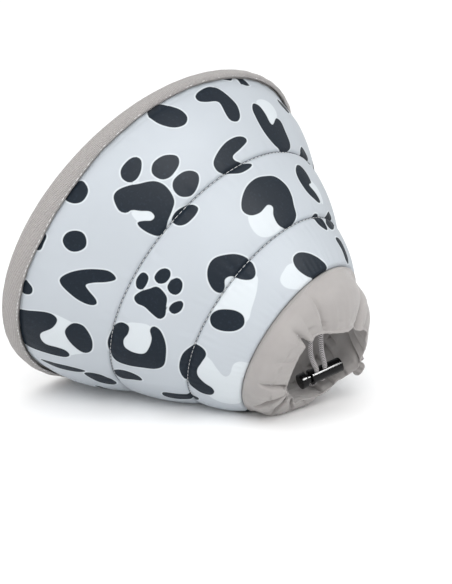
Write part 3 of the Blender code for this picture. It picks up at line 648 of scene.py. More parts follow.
def braided_elastic(colours):
    """Polyester yarn braided over elastic."""
    # Pale yarn on the knobs of the braid and near-black between them, the dark partly the dark yarn and partly
    # painted shade in the hollows: a fine salt-and-pepper rope
    made, tree, shader = new_material("braided_polyester_elastic", Roughness=0.7,
                                      Sheen_Weight=0.2, Sheen_Roughness=0.5)
    along = add(tree, "ShaderNodeUVMap", uv_map="cloth").outputs[0]
    braid = add(tree, "ShaderNodeTexWave", {"Vector": along, "Scale": math.pi / 10.0},
                bands_direction="X").outputs["Fac"]
    # Near-black in the hollows between the knobs: dark yarn and painted shade
    yarn_and_hollow_shade = add(tree, "ShaderNodeMapRange", {"Value": braid, "From Min": 0.2, "From Max": 0.8})
    colour = add(tree, "ShaderNodeMix", {0: yarn_and_hollow_shade.outputs[0], 6: toned(colours.cord, 0.06),
                                         7: colours.cord}, data_type="RGBA")
    tree.links.new(colour.outputs[2], shader.inputs["Base Color"])
    bump = add(tree, "ShaderNodeBump", {"Height": braid, "Distance": 0.2 * MM, "Strength": 0.8})
    tree.links.new(bump.outputs[0], shader.inputs["Normal"])
    return made


def sewing_thread(name, code):
    """Polyester sewing thread, spun."""
    # Two plies twisted hard: a soft shine broken up by the twist
    made, tree, shader = new_material(name, Roughness=0.6, Sheen_Weight=0.2,
                                      Base_Color=(*linear(code), 1.0))
    place = add(tree, "ShaderNodeTexCoord").outputs["Object"]
    twist = add(tree, "ShaderNodeTexNoise", {"Vector": place, "Scale": 4000.0})
    bump = add(tree, "ShaderNodeBump", {"Height": twist.outputs["Fac"], "Distance": 0.05 * MM,
                                        "Strength": 0.4})
    tree.links.new(bump.outputs[0], shader.inputs["Normal"])
    return made


def closed_outline(points, parts=6):
    """Points of a smooth closed outline through a few chosen points."""
    given = np.array(points, float)
    before, after, later = np.roll(given, 1, 0), np.roll(given, -1, 0), np.roll(given, -2, 0)
    steps = (np.arange(parts) / parts)[None, :, None]
    a, b, c, d = (p[:, None, :] for p in (before, given, after, later))
    curve = 0.5 * (2.0 * b + (c - a) * steps + (2.0 * a - 5.0 * b + 4.0 * c - d) * steps ** 2
                   + (3.0 * b - a - 3.0 * c + d) * steps ** 3)
    return curve.reshape(-1, 2)


def signed_distance(points, outline):
    """Distance of flat points from a closed outline, negative inside."""
    start, end = outline, np.roll(outline, -1, 0)
    run = end - start
    nearest = np.full(len(points), np.inf)
    inside = np.zeros(len(points), bool)
    for first, step, last in zip(start, run, end):
        offset = points - first
        part = np.clip(offset @ step / max(step @ step, 1e-12), 0.0, 1.0)
        nearest = np.minimum(nearest, np.linalg.norm(offset - part[:, None] * step, axis=1))
        crosses = (first[1] > points[:, 1]) != (last[1] > points[:, 1])
        rise = last[1] - first[1] if last[1] != first[1] else 1e-12
        at = first[0] + (points[:, 1] - first[1]) / rise * (last[0] - first[0])
        inside ^= crosses & (points[:, 0] < at)
    return np.where(inside, -nearest, nearest)


def placed_figures():
    """Every printed outline on the flat cloth: the chart, and its copies where it is bare."""
    placed, taken = [], []
    for shift_x, shift_y, degrees in ((-0.2, -0.2, 0.0),) + PRINT_AGAIN:
        turn = math.radians(degrees)
        spin = np.array(((math.cos(turn), math.sin(turn)), (-math.sin(turn), math.cos(turn))))
        for group in PRINT:
            figures = [(figure[0], closed_outline(figure[1:])) for figure in group[1:]]
            middle = np.vstack([outline for _, outline in figures]).mean(0)
            radius = max(np.linalg.norm(outline - middle, axis=1).max() for _, outline in figures)
            centre = middle + (shift_x, shift_y)
            if degrees and any(np.linalg.norm(centre - other) < radius + reach + FIGURE_SPACE
                               for other, reach in taken):
                continue
            taken.append((centre, radius))
            placed += [(ink, (outline - middle) @ spin + centre) for ink, outline in figures]
    return placed


def print_on(mesh, flat, figures):
    """Store each vertex's distance from ink, plain white and quilt lines, in mm."""
    far = 6.0
    down = APEX / MM - np.linalg.norm(flat, axis=1)
    lines = [np.abs(down - line * SLANT / MM) for line in QUILT_LINES[1:3]]
    fields = {"ink": np.full(len(flat), far), "white": np.full(len(flat), far),
              "quilt": np.minimum(*lines)}
    for kind, outline in figures:
        low, high = outline.min(0) - far, outline.max(0) + far
        near = np.all((flat > low) & (flat < high), axis=1)
        if near.any():
            field = fields[kind]
            field[near] = np.minimum(field[near], signed_distance(flat[near], outline))
    for kind, field in fields.items():
        layer = mesh.attributes.new(f"{kind}_mm", "FLOAT", "POINT")
        layer.data.foreach_set("value", field.astype(np.float32))


def flat_cloth(degrees, along):
    """Place on the flat cloth, in mm, of points of the cone."""
    turn = radians(degrees - MIDDLE_ANGLE) * math.sin(HALF_ANGLE)
    reach = (APEX - along) / MM
    return np.stack([reach * np.sin(turn), reach * np.cos(turn)], axis=-1)


def band_puff(along, fullness=0.6):
    """Swell of the padding between the quilt lines, from 0 to 1."""
    share = along / SLANT
    lift = np.zeros_like(share)
    for start, end, height in zip(QUILT_LINES, QUILT_LINES[1:], BAND_PUFF):
        part = np.clip((share - start) / (end - start), 0.0, 1.0)
        lift = np.maximum(lift, height * np.sin(math.pi * part) ** fullness)
    return lift


def seam_pucker(degrees, along, height, seed):
    """Small puckers that start at the quilt lines and die out in the bands."""
    total = 0.0
    for index, line in enumerate(QUILT_LINES):
        away = np.abs(along - line * SLANT)
        fade = away / (3.0 * MM) * np.exp(1.0 - away / (3.0 * MM))
        total = total + fade * ripple(degrees, 34, 110, 7, seed + index)
    return height * total


def band_rows(count):
    """Distances down the slant, closer together at the quilt lines."""
    rows = []
    for start, end in zip(QUILT_LINES, QUILT_LINES[1:]):
        even = np.arange(count) / count
        part = 0.35 * even + 0.65 * (1.0 - np.cos(math.pi * even)) / 2.0
        rows.append(SLANT * (start + (end - start) * part))
    return np.concatenate(rows + [[SLANT]])


def wall_out(degrees, along, side, pucker, groove=0.0):
    """How far the wall's outside (side 1) or inside (side -1) is off its stitched face."""
    first = QUILT_LINES[0] * SLANT
    under = TAPE_THICKNESS + GAP
    sunk = under * (1.0 - np.clip((along - first) / (0.12 * SLANT), 0.0, 1.0))
    lift = band_puff(along)
    uneven = 1.0 + 0.10 * ripple(degrees, 5, 22, 6, 40 if side > 0 else 60)
    small = seam_pucker(degrees, along, pucker, 70 if side > 0 else 90)
    rolled = 1.1 * MM * np.clip(1.0 - (SLANT - along) / (1.6 * MM), 0.0, 1.0) ** 2
    for line in QUILT_LINES[1:3]:
        rolled = rolled + groove * np.exp(-((along - line * SLANT) / (0.9 * MM)) ** 2)
    if side > 0:
        return -sunk + PUFF_OUT * lift * uneven + small - rolled
    return -sunk - STITCHED_WALL - PUFF_IN * lift * uneven - small + 0.5 * rolled


CONE_COLUMNS = 700


def cone_mesh(pucker, groove):
    """Quilted wall as one closed mesh, with its cloth map and its print."""
    edge = TAPE_THICKNESS + GAP
    outer = np.concatenate([[edge, edge + 4.0 * MM], band_rows(44)])
    inner = np.concatenate([[edge, edge + 4.0 * MM], band_rows(10)])[::-1]
    degrees = CUT_ANGLE + 360.0 * np.arange(CONE_COLUMNS + 1) / CONE_COLUMNS
    outer_out = wall_out(degrees[:, None], outer[None, :], 1, pucker, groove)
    inner_out = wall_out(degrees[:, None], inner[None, :], -1, pucker, 0.6 * groove)
    along = np.concatenate([outer, inner])[None, :] + 0.0 * degrees[:, None]
    out = np.concatenate([outer_out, inner_out], axis=1)
    axial, radius = along_and_out(along, out)
    points = settled_points(degrees[:, None], axial, radius)
    flat = flat_cloth(degrees[:, None] + 0.0 * along, along)
    # The inside is another cut of the same cloth, seen from its own face
    flat[:, len(outer):, 0] *= -1.0
    uv = np.concatenate([flat, flat[:, :1]], axis=1) * MM
    mesh = grid_mesh("quilted_cone", points[:-1], uv)
    print_on(mesh, flat[:-1].reshape(-1, 2), placed_figures())
    return mesh


# How much wider than its solid the tape lies on the cloth: angle, mm
TAPE_EXTRA = (
    (0.0, -1.5), (15.0, -2.0), (35.0, -3.2), (60.0, -3.2), (90.0, -0.5), (120.0, 0.0),
    (185.0, 0.2), (220.0, 0.8), (245.0, 1.3), (265.0, 1.6), (282.0, 2.2), (298.0, 1.6),
    (314.0, 0.0), (330.0, -0.8), (345.0, -1.3),
)


def tape_mesh():
    """Binding tape folded over the rim: full and slightly wavy, with rolled edges."""
    columns, steps = 720, 34
    depth = 2.0 * (TAPE_THICKNESS + GAP) + STITCHED_WALL
    middle = depth / 2.0
    degrees = CUT_ANGLE + 360.0 * np.arange(columns + 1) / columns
    bend = np.linspace(0.0, math.pi, 13)
    fold = 1.0 - 0.55 * np.sin(bend)
    start = middle * 0.45
    leg = np.linspace(TAPE_WIDTH, middle, 9)[:-1]
    swell = 1.5 * MM * np.sin(math.pi * np.linspace(0.0, 1.0, 9)[:-1])
    outside = [np.stack([leg, swell]), np.stack([middle * fold, middle * (np.cos(bend) - 1.0)]),
               np.stack([leg[::-1], -depth - swell[::-1]])]
    inside = middle - TAPE_THICKNESS
    within = [np.stack([leg[::-1], 0.0 * leg - depth + TAPE_THICKNESS]),
              np.stack([TAPE_THICKNESS + inside * fold, inside * np.cos(bend) - middle])[:, ::-1],
              np.stack([leg, 0.0 * leg - TAPE_THICKNESS])]
    profile = np.concatenate(outside + within, axis=1)
    along = profile[0] - start
    edge = np.clip((profile[0] - 0.5 * TAPE_WIDTH) / (0.5 * TAPE_WIDTH), 0.0, 1.0)
    wave = 0.12 * MM * ripple(degrees, 20, 90, 6, 11)[:, None] * edge[None, :]
    wave = wave + round_table(TAPE_EXTRA, degrees, 1)[:, None] * MM * np.clip(
        profile[0] / TAPE_WIDTH, 0.0, 1.0) * (profile[1] > -0.5 * depth)
    out = profile[1][None, :] + 0.15 * MM * ripple(degrees, 16, 60, 6, 12)[:, None]
    axial, radius = along_and_out(along[None, :] + wave, out)
    points = settled_points(degrees[:, None], axial, radius)
    length = np.concatenate([[0.0], np.cumsum(np.hypot(*np.diff(
        np.concatenate([profile, profile[:, :1]], axis=1)).reshape(2, -1)))])
    round_way = radians(degrees)[:, None] * RIM_RADIUS
    uv = np.stack(np.broadcast_arrays(round_way, length[None, :]), axis=-1)
    return grid_mesh("rim_tape", points[:-1], uv)


def section_curve(controls, parts):
    """Smooth open curves through control points; the curves are the first axis."""
    ends = np.concatenate([2.0 * controls[:, :1] - controls[:, 1:2], controls,
                           2.0 * controls[:, -1:] - controls[:, -2:-1]], axis=1)
    a, b, c, d = ends[:, :-3], ends[:, 1:-2], ends[:, 2:-1], ends[:, 3:]
    steps = (np.arange(parts) / parts)[None, None, :, None]
    a, b, c, d = (p[:, :, None, :] for p in (a, b, c, d))
    curve = 0.5 * (2.0 * b + (c - a) * steps + (2.0 * a - 5.0 * b + 4.0 * c - d) * steps ** 2
                   + (3.0 * b - a - 3.0 * c + d) * steps ** 3)
    curve = curve.reshape(len(controls), -1, controls.shape[-1])
    return np.concatenate([curve, controls[:, -1:]], axis=1)


CUFF_COLUMNS = 600

# Where the lip departs from its plain line: angle, half width in degrees, and how far it goes
# along the axis and away from it, in mm
LIP_TOUCHES = (
    # (angle, half width, along, out)
    (347.0, 15.0, 2.2, 0.0), (26.0, 8.0, 2.0, 0.4), (12.0, 2.5, -0.8, 0.8), (103.0, 8.0, 2.0, 0.6),
    (301.5, 2.2, -3.4, 1.6), (307.0, 3.0, 0.6, -0.6), (247.0, 5.0, 0.8, 1.2),
)

# The cloth turns over the lip more tightly than its solid does: reach, way in, swell
CUFF_TURN = ((1.00, 0.80, 0.28), (1.01, 0.90, 0.10), (1.04, 0.955, 0.03), (1.045, 0.985, 0.0),
             (1.02, 1.01, 0.0), (0.96, 1.00, 0.00))

# The inner layer goes on into the cone as a facing: how far down the slant, in mm
FACING = (4.0, 11.0, 18.0, 25.0)

# Soft folds of the cuff: each runs from one point to another, given as angle and share of
# the way round the section, with a half width in degrees and a depth in mm (below 0: a ridge)
CUFF_FOLDS = (
    # (angle, share, end angle, end share, half width, depth, sharpness of its lower side)
    (327.0, 0.06, 323.0, 0.32, 5.0, 2.8, 0.5), (338.0, 0.10, 336.0, 0.26, 7.0, -0.8, 1.0),
    (312.0, 0.12, 309.0, 0.34, 5.0, 0.7, 0.5), (26.0, 0.07, 7.0, 0.39, 6.0, 7.5, 0.08),
    (2.0, 0.12, 358.0, 0.28, 5.0, 0.8, 0.6), (44.0, 0.12, 34.0, 0.40, 5.0, 1.8, 0.3),
    (301.5, 0.32, 301.5, 0.44, 2.0, 2.2, 1.0), (293.0, 0.16, 297.0, 0.34, 3.5, -0.7, 1.0),
    (274.0, 0.14, 282.0, 0.34, 5.0, 1.0, 0.4), (258.0, 0.14, 247.0, 0.42, 3.0, 3.4, 0.2),
    (240.0, 0.14, 244.0, 0.38, 2.0, -1.2, 0.6), (226.0, 0.12, 243.0, 0.44, 3.5, 4.2, 0.15),
    (203.0, 0.18, 236.0, 0.44, 4.0, 4.2, 0.15), (182.0, 0.22, 224.0, 0.46, 4.5, 3.6, 0.2),
    (166.0, 0.26, 196.0, 0.44, 4.0, 2.8, 0.25), (146.0, 0.20, 160.0, 0.42, 4.0, 2.2, 0.3),
    (122.0, 0.12, 128.0, 0.40, 4.0, 2.4, 0.3), (101.0, 0.36, 84.0, 0.62, 4.0, 5.2, 0.1),
    (86.0, 0.42, 72.0, 0.66, 4.0, 2.2, 0.3), (66.0, 0.42, 64.0, 0.66, 4.0, 2.0, 0.3),
    (48.0, 0.40, 56.0, 0.62, 5.0, 3.2, 0.15), (30.0, 0.40, 38.0, 0.64, 4.0, 2.4, 0.3),
    (345.0, 0.42, 340.0, 0.66, 5.0, 2.4, 0.4), (0.0, 0.42, 4.0, 0.66, 4.0, 2.4, 0.3),
    (118.0, 0.42, 110.0, 0.70, 4.0, 2.8, 0.3), (134.0, 0.42, 128.0, 0.70, 4.0, 2.6, 0.3),
    (150.0, 0.42, 146.0, 0.70, 4.0, 2.4, 0.3), (104.0, 0.60, 100.0, 0.90, 4.0, 2.6, 0.3),
    (122.0, 0.60, 118.0, 0.92, 5.0, 2.6, 0.3), (138.0, 0.60, 134.0, 0.92, 4.0, 2.6, 0.3),
)


def cuff_mesh():
    """Doubled casing of plain cloth, gathered to a mouth."""
    degrees = CUT_ANGLE + 360.0 * np.arange(CUFF_COLUMNS + 1) / CUFF_COLUMNS
    touched = np.zeros((2, len(degrees)))
    for angle, half_width, along, out in LIP_TOUCHES:
        away = (np.mod(degrees - angle + 180.0, 360.0) - 180.0) / half_width
        touched += np.outer((along * MM, out * MM), np.exp(-away * away))
    reach = CUFF_REACH * round_table(LIP, degrees, 1)
    sewn_to = along_and_out(SLANT + GAP, -1.0 * MM)
    piping = along_and_out(SLANT + GAP + 1.1 * MM, 0.35 * MM)
    facing = [along_and_out(SLANT - down * MM, wall_out(0.0, np.array(SLANT - down * MM), -1, 0.0)
                            - off * MM) for off, order in ((1.3, 1), (0.6, -1))
              for down in FACING[::order]]
    ends_at = along_and_out(SLANT + GAP, -STITCHED_WALL)
    controls = [np.stack(np.broadcast_arrays(*at, degrees), axis=-1)[:, :2]
                for at in (sewn_to, piping)]
    turn_row = OUTSIDE_ROWS - 1
    for share, way_in, swell in (CUFF_SECTION[:turn_row] + CUFF_TURN
                                 + CUFF_SECTION[turn_row + 2:]):
        lean = share ** 3 if way_in < 0.9 or share > 0.9 else share
        controls.append(np.stack([CONE_DEPTH + reach * share + touched[0] * lean,
                                  cuff_radius(degrees, share, way_in, swell)
                                  + touched[1] * lean], axis=-1))
    for at in facing + [ends_at]:
        controls.append(np.stack(np.broadcast_arrays(*at, degrees), axis=-1)[:, :2])
    section = section_curve(np.stack(controls, axis=1), 6)
    count = section.shape[1]
    share = np.linspace(0.0, 1.0, count)[None, :]
    across = np.gradient(section, axis=1)
    normal = np.stack([-across[..., 1], across[..., 0]], axis=-1)
    normal /= np.linalg.norm(normal, axis=-1, keepdims=True) + 1e-12
    push = 0.12 * MM * ripple(degrees, 14, 60, 8, 21)[:, None] * np.sin(math.pi * share)
    for start, start_share, end, end_share, half_width, depth, sharpness in CUFF_FOLDS:
        part = np.clip((share - start_share) / (end_share - start_share), 0.0, 1.0)
        centre = start + (end - start) * part
        away = (np.mod(degrees[:, None] - centre + 180.0, 360.0) - 180.0) / half_width
        away = np.where(away < 0.0, away / sharpness, away)
        fade = np.clip((share - start_share) * 12.0, 0.0, 1.0) * np.clip(
            (end_share + 0.06 - share) * 12.0, 0.0, 1.0)
        push = push + depth * MM * np.exp(-np.abs(away) ** 1.15) * fade
    section = section - normal * push[..., None]
    points = settled_points(degrees[:, None], section[..., 0], section[..., 1])
    length = np.concatenate([[0.0], np.cumsum(np.linalg.norm(np.diff(
        section.mean(0), axis=0), axis=1)), [0.0]])
    length[-1] = length[-2] + STITCHED_WALL
    uv = np.stack(np.broadcast_arrays(radians(degrees)[:, None] * NECK_RADIUS, length[None, :]),
                  axis=-1)
    return grid_mesh("gathered_cuff", points[:-1], uv)


def frame_matrix(origin, x_axis, z_axis):
    """Matrix with its X along x_axis and its Z as near to z_axis as it can be."""
    x_dir = x_axis.normalized()
    z_dir = (z_axis - z_axis.dot(x_dir) * x_dir).normalized()
    turn = Matrix((x_dir, z_dir.cross(x_dir), z_dir)).transposed().to_4x4()
    return Matrix.Translation(origin) @ turn


def lock_frame():
    """Frame of the cord lock: its X runs from the button into the barrel."""
    start, end = cuff_point(BUTTON_END), cuff_point(BARREL_END)
    middle = cuff_point(CORD_ABOVE_LOCK[0][1]) + cuff_point(CORD_ABOVE_LOCK[1][1])
    return frame_matrix(start, end - start, middle / 2.0 - start)


def seat_point(angle):
    """Where the drawcord lies in the cuff at an angle."""
    at = np.array(float(angle))
    axial = CONE_DEPTH + CUFF_REACH * round_table(LIP, at, 1) * CORD_SEAT
    outer = cuff_outside(at, axial)
    inner = cuff_radius(at, CORD_SEAT, CORD_SEAT_WAY_IN, 0.0)
    return Vector(settled_points(at, axial, (outer + inner) / 2.0))


def cord_route():
    """Points that the drawcord passes through, from one end to the other."""
    sides = []
    knot = cuff_point(KNOT_PLACE)
    for hole, above, below, slit in zip(CORD_HOLES, CORD_ABOVE_LOCK, CORD_BELOW_LOCK,
                                        CORD_INTO_SLIT):
        side = [cuff_point(place) for place in below[::-1]]
        side = [knot + (side[0] - knot).normalized() * (KNOT_RADIUS + CORD_END_GAP)] + side
        side += [lock_frame() @ Vector((BARREL_START + hole, 0.0, up))
                 for up in (-CORD_STRAIGHT, 0.0, CORD_STRAIGHT)]
        side += [cuff_point(place) for place in above]
        free_end = side[-1]
        side += [free_end.lerp(seat_point(angle), share) for angle, share in slit]
        sides.append(side)
    turn = [seat_point(angle) for angle in np.arange(TURN_START, TURN_END - 1.0, TURN_STEP)]
    turn[-1] = seat_point(TURN_END)
    return sides[0] + turn + sides[1][::-1]


def smooth_path(route, step):
    """Evenly spaced points on a smooth curve through a route."""
    curve = section_curve(np.array([tuple(p) for p in route])[None], 16)[0]
    length = np.concatenate([[0.0], np.cumsum(np.linalg.norm(np.diff(curve, axis=0), axis=1))])
    at = np.linspace(0.0, length[-1], int(round(length[-1] / step)) + 1)
    return np.stack([np.interp(at, length, curve[:, way]) for way in range(3)], axis=1), length[-1]


# Columns of the braid round the cord, and how far their knobs are out of step, in radians
BRAID_COLUMNS = 3
BRAID_LAG = 1.1


def tube_mesh(name, path, radius, sides, knobs_each_metre, knob_height):
    """Braided tube along a path, its ends closed; its map counts the knobs, and each is
    highest where the map is a quarter past a whole number."""
    ahead = np.gradient(path, axis=0)
    ahead /= np.linalg.norm(ahead, axis=1, keepdims=True)
    normals = [np.cross(ahead[0], (0.3, 0.5, 0.8))]
    for direction in ahead[1:]:
        moved = normals[-1] - direction * (normals[-1] @ direction)
        normals.append(moved / np.linalg.norm(moved))
    normals = np.array(normals)
    normals[0] /= np.linalg.norm(normals[0])
    side = np.cross(ahead, normals)
    step = np.linalg.norm(np.diff(path, axis=0), axis=1)
    length = np.concatenate([[0.0], np.cumsum(step)])
    turn = 2.0 * math.pi * np.arange(sides + 1) / sides
    braid = (2.0 * math.pi * knobs_each_metre * length[:, None]
             + BRAID_LAG * np.cos(BRAID_COLUMNS * turn[None]))
    bump = 1.0 + knob_height * np.sin(braid)
    ring = (np.cos(turn)[None, :, None] * normals[:, None] + np.sin(turn)[None, :, None] * side[:, None])
    points = path[:, None] + ring * (radius * bump)[..., None]
    mesh = bpy.data.meshes.new(name)
    rows = len(path)
    verts = points[:, :-1].reshape(-1, 3).tolist() + [tuple(path[0]), tuple(path[-1])]
    faces, uv = [], []
    for row in range(rows - 1):
        for place in range(sides):
            after = (place + 1) % sides
            faces.append((row * sides + place, row * sides + after,
                          (row + 1) * sides + after, (row + 1) * sides + place))
            for r, p in ((row, place), (row, place + 1), (row + 1, place + 1), (row + 1, place)):
                # The map is shifted so that the cord's pale yarn falls on the knobs and its painted shade in
                # the hollows between them
                uv.append((braid[r, p] / (2.0 * math.pi) + 0.25, p / sides))
    for end, row in ((len(verts) - 2, 0), (len(verts) - 1, rows - 1)):
        for place in range(sides):
            faces.append((end, row * sides + (place + 1) % sides, row * sides + place))
            uv += [(0.0, 0.0)] * 3
    mesh.from_pydata(verts, [], faces)
    layer = mesh.uv_layers.new(name="cloth")
    layer.data.foreach_set("uv", np.array(uv, np.float32).reshape(-1))
    work = bmesh.new()
    work.from_mesh(mesh)
    bmesh.ops.recalc_face_normals(work, faces=work.faces)
    work.to_mesh(mesh)
    work.free()
    mesh.shade_smooth()
    return mesh


def turned_mesh(name, profile, frame_of, steps=64):
    """Closed turned mesh of a profile of (distance along X, radius) that starts and ends on X."""
    mesh = bpy.data.meshes.new(name)
    work = bmesh.new()
    line = [work.verts.new((along, 0.0, radius)) for along, radius in profile]
    edges = [work.edges.new(pair) for pair in zip(line, line[1:])]
    bmesh.ops.spin(work, geom=line + edges, cent=(0, 0, 0), axis=(1, 0, 0),
                   angle=2.0 * math.pi, steps=steps, use_merge=True)
    bmesh.ops.remove_doubles(work, verts=work.verts, dist=0.00001)
    bmesh.ops.recalc_face_normals(work, faces=work.faces)
    bmesh.ops.transform(work, matrix=frame_of, verts=work.verts)
    work.to_mesh(mesh)
    work.free()
    return mesh


def rounded(points, radius, parts=5):
    """Profile whose inner corners are rounded by arcs of a radius."""
    made = [points[0]]
    for before, corner, after in zip(points, points[1:], points[2:]):
        here, back, on = Vector(corner), Vector(before) - Vector(corner), Vector(after) - Vector(corner)
        reach = min(radius, back.length * 0.45, on.length * 0.45)
        start, end = here + back.normalized() * reach, here + on.normalized() * reach
        for part in range(parts + 1):
            share = part / parts
            made.append(tuple(start.lerp(here, share).lerp(here.lerp(end, share), share)))
    return made + [points[-1]]


def carve(obj, cutters):
    """Take cutters out of an object and apply it."""
    for tool in cutters:
        step = obj.modifiers.new("carve", "BOOLEAN")
        step.operation, step.solver, step.object = "DIFFERENCE", "EXACT", tool
    graph = bpy.context.evaluated_depsgraph_get()
    mesh = bpy.data.meshes.new_from_object(obj.evaluated_get(graph))
    obj.modifiers.clear()
    obj.data = mesh
    for tool in cutters:
        bpy.data.objects.remove(tool)
    mesh.shade_smooth()
    mesh.set_sharp_from_angle(angle=math.radians(38.0))


def cord_hole(place, size):
    """Cutter for one cord hole, across the lock."""
    mesh = bpy.data.meshes.new("hole")
    work = bmesh.new()
    bmesh.ops.create_cone(work, cap_ends=True, segments=30, depth=4.0 * BARREL_RADIUS,
                          radius1=size, radius2=size)
    turn = Matrix.Rotation(math.radians(3.0), 4, "Z")
    bmesh.ops.transform(work, matrix=lock_frame() @ Matrix.Translation((place, 0, 0)) @ turn,
                        verts=work.verts)
    work.to_mesh(mesh)
    work.free()
    return link("hole", mesh)


def stitch_tree(name, look):
    """Geometry Nodes that sew stitches along a curve: a capsule for each, a pitch apart."""
    tree = bpy.data.node_groups.new(name, "GeometryNodeTree")
    face = tree.interface
    face.new_socket("Geometry", in_out="INPUT", socket_type="NodeSocketGeometry")
    for label in ("Pitch", "Stitch length", "Thread"):
        face.new_socket(label, in_out="INPUT", socket_type="NodeSocketFloat")
    face.new_socket("Geometry", in_out="OUTPUT", socket_type="NodeSocketGeometry")
    given = add(tree, "NodeGroupInput")
    even = add(tree, "GeometryNodeResampleCurve",
               {"Curve": given.outputs["Geometry"], "Length": given.outputs["Pitch"]}, mode="LENGTH")
    dot = add(tree, "GeometryNodeMeshUVSphere", {"Segments": 8, "Rings": 6, "Radius": 0.5})
    size = add(tree, "ShaderNodeCombineXYZ", {"X": given.outputs["Thread"],
               "Y": given.outputs["Thread"], "Z": given.outputs["Stitch length"]})
    tangent = add(tree, "GeometryNodeInputTangent")
    turn = add(tree, "FunctionNodeAlignRotationToVector", {"Vector": tangent.outputs[0]}, axis="Z")
    put = add(tree, "GeometryNodeInstanceOnPoints", {"Points": even.outputs[0],
              "Instance": dot.outputs[0], "Rotation": turn.outputs[0], "Scale": size.outputs[0]})
    real = add(tree, "GeometryNodeRealizeInstances", {"Geometry": put.outputs[0]})
    smooth = add(tree, "GeometryNodeSetShadeSmooth", {"Geometry": real.outputs[0]})
    painted = add(tree, "GeometryNodeSetMaterial", {"Geometry": smooth.outputs[0], "Material": look})
    add(tree, "NodeGroupOutput", {"Geometry": painted.outputs[0]})
    return tree


def sewn(name, lines, tree, sizes, share):
    """Mesh of the stitches along some closed lines of points."""
    curve = bpy.data.curves.new(name, "CURVE")
    curve.dimensions = "3D"
    for line in lines:
        spline = curve.splines.new("POLY")
        spline.points.add(len(line) - 1)
        spline.points.foreach_set("co", np.c_[line, np.ones(len(line))].reshape(-1))
        spline.use_cyclic_u = True
    blank = bpy.data.objects.new(name, curve)
    bpy.context.scene.collection.objects.link(blank)
    step = blank.modifiers.new("stitches", "NODES")
    step.node_group = tree
    values = {"Pitch": sizes.stitch_pitch, "Stitch length": sizes.stitch_pitch * share,
              "Thread": sizes.thread}
    for item in tree.interface.items_tree:
        if item.in_out == "INPUT" and item.name in values:
            step[item.identifier] = values[item.name]
    bpy.context.view_layer.update()
    graph = bpy.context.evaluated_depsgraph_get()
    mesh = bpy.data.meshes.new_from_object(blank.evaluated_get(graph))
    bpy.data.objects.remove(blank)
    look = mesh.materials[0] if mesh.materials else tree.nodes["Set Material"].inputs["Material"].default_value
    return link(name, mesh, look)


class COLLAR_OT_stage(bpy.types.Operator):
    """Set the camera, the pale floor and the soft studio lights."""

    bl_idname = "collar.stage"
    bl_label = "Stage"

    def execute(self, context):
        scene = context.scene
        turn, drop = math.radians(CAMERA_TURN), math.radians(CAMERA_DROP)
        ahead = Vector((-math.sin(turn) * math.cos(drop), math.cos(turn) * math.cos(drop),
                        -math.sin(drop)))
        right = Vector((math.cos(turn), math.sin(turn), 0.0))
        place = Matrix((right, right.cross(ahead), -ahead)).transposed().to_4x4()
        place.translation = Vector(CAMERA_PLACE) + Vector((CENTRE_SHIFT, 0.0, -SETTLE))
        lens = bpy.data.cameras.new("camera")
        lens.sensor_width = SENSOR
        lens.lens = SENSOR * CAMERA_FOCAL / IMAGE_HEIGHT
        lens.shift_x = CAMERA_OFFSET[0] / IMAGE_HEIGHT
        lens.shift_y = CAMERA_OFFSET[1] / IMAGE_HEIGHT
        lens.clip_start = 0.01
        camera = bpy.data.objects.new("camera", lens)
        scene.collection.objects.link(camera)
        camera.matrix_world = place
        scene.camera = camera
        self.floor()
        self.lights(scene)
        return {"FINISHED"}

    def floor(self):
        """Plain pale floor."""
        look, _, _ = new_material("painted_board", Roughness=1.0, IOR=1.0,
                                  Base_Color=(*linear("FDFDFD"), 1.0))
        mesh = bpy.data.meshes.new("floor")
        work = bmesh.new()
        bmesh.ops.create_grid(work, x_segments=1, y_segments=1, size=60.0)
        work.to_mesh(mesh)
        work.free()
        link("floor", mesh, look)

    def lights(self, scene):
        """White studio walls under a dimmer ceiling, a wide sun, a soft lamp and a strip."""
        world = bpy.data.worlds.new("studio")
        scene.world = world
        world.use_nodes = True
        tree = world.node_tree
        ahead = add(tree, "ShaderNodeTexCoord").outputs["Generated"]
        height = add(tree, "ShaderNodeSeparateXYZ", {0: ahead}).outputs[2]
        walls = add(tree, "ShaderNodeMapRange", {"Value": height, "From Min": 0.06,
                    "From Max": 0.6, "To Min": 1.0, "To Max": 0.62}).outputs[0]
        tree.links.new(walls, tree.nodes["Background"].inputs["Strength"])
        tree.nodes["Background"].inputs["Color"].default_value = (1.0, 1.0, 1.0, 1.0)
        # Each lamp's name, kind, place and settings; the strip lamp is there for its reflection
        # in the barrel alone
        for name, kind, spot, settings in (
                ("key", "SUN", (0.75, -1.1, 2.2), {"angle": 0.9, "energy": 1.62}),
                ("panel", "AREA", (0.9, -0.9, 1.3), {"size": 0.7, "energy": 6.0}),
                ("strip", "AREA", (1.11, -0.19, 0.93),
                 {"shape": "RECTANGLE", "size": 0.34, "size_y": 0.5, "energy": 36.0})):
            lamp = bpy.data.lights.new(name, kind)
            for key, value in settings.items():
                setattr(lamp, key, value)
            light = bpy.data.objects.new(name, lamp)
            scene.collection.objects.link(light)
            light.location = spot
            light.visible_diffuse = name != "strip"
            light.rotation_euler = (-Vector(spot)).to_track_quat("-Z", "Y").to_euler()
        scene.view_settings.view_transform = "Standard"


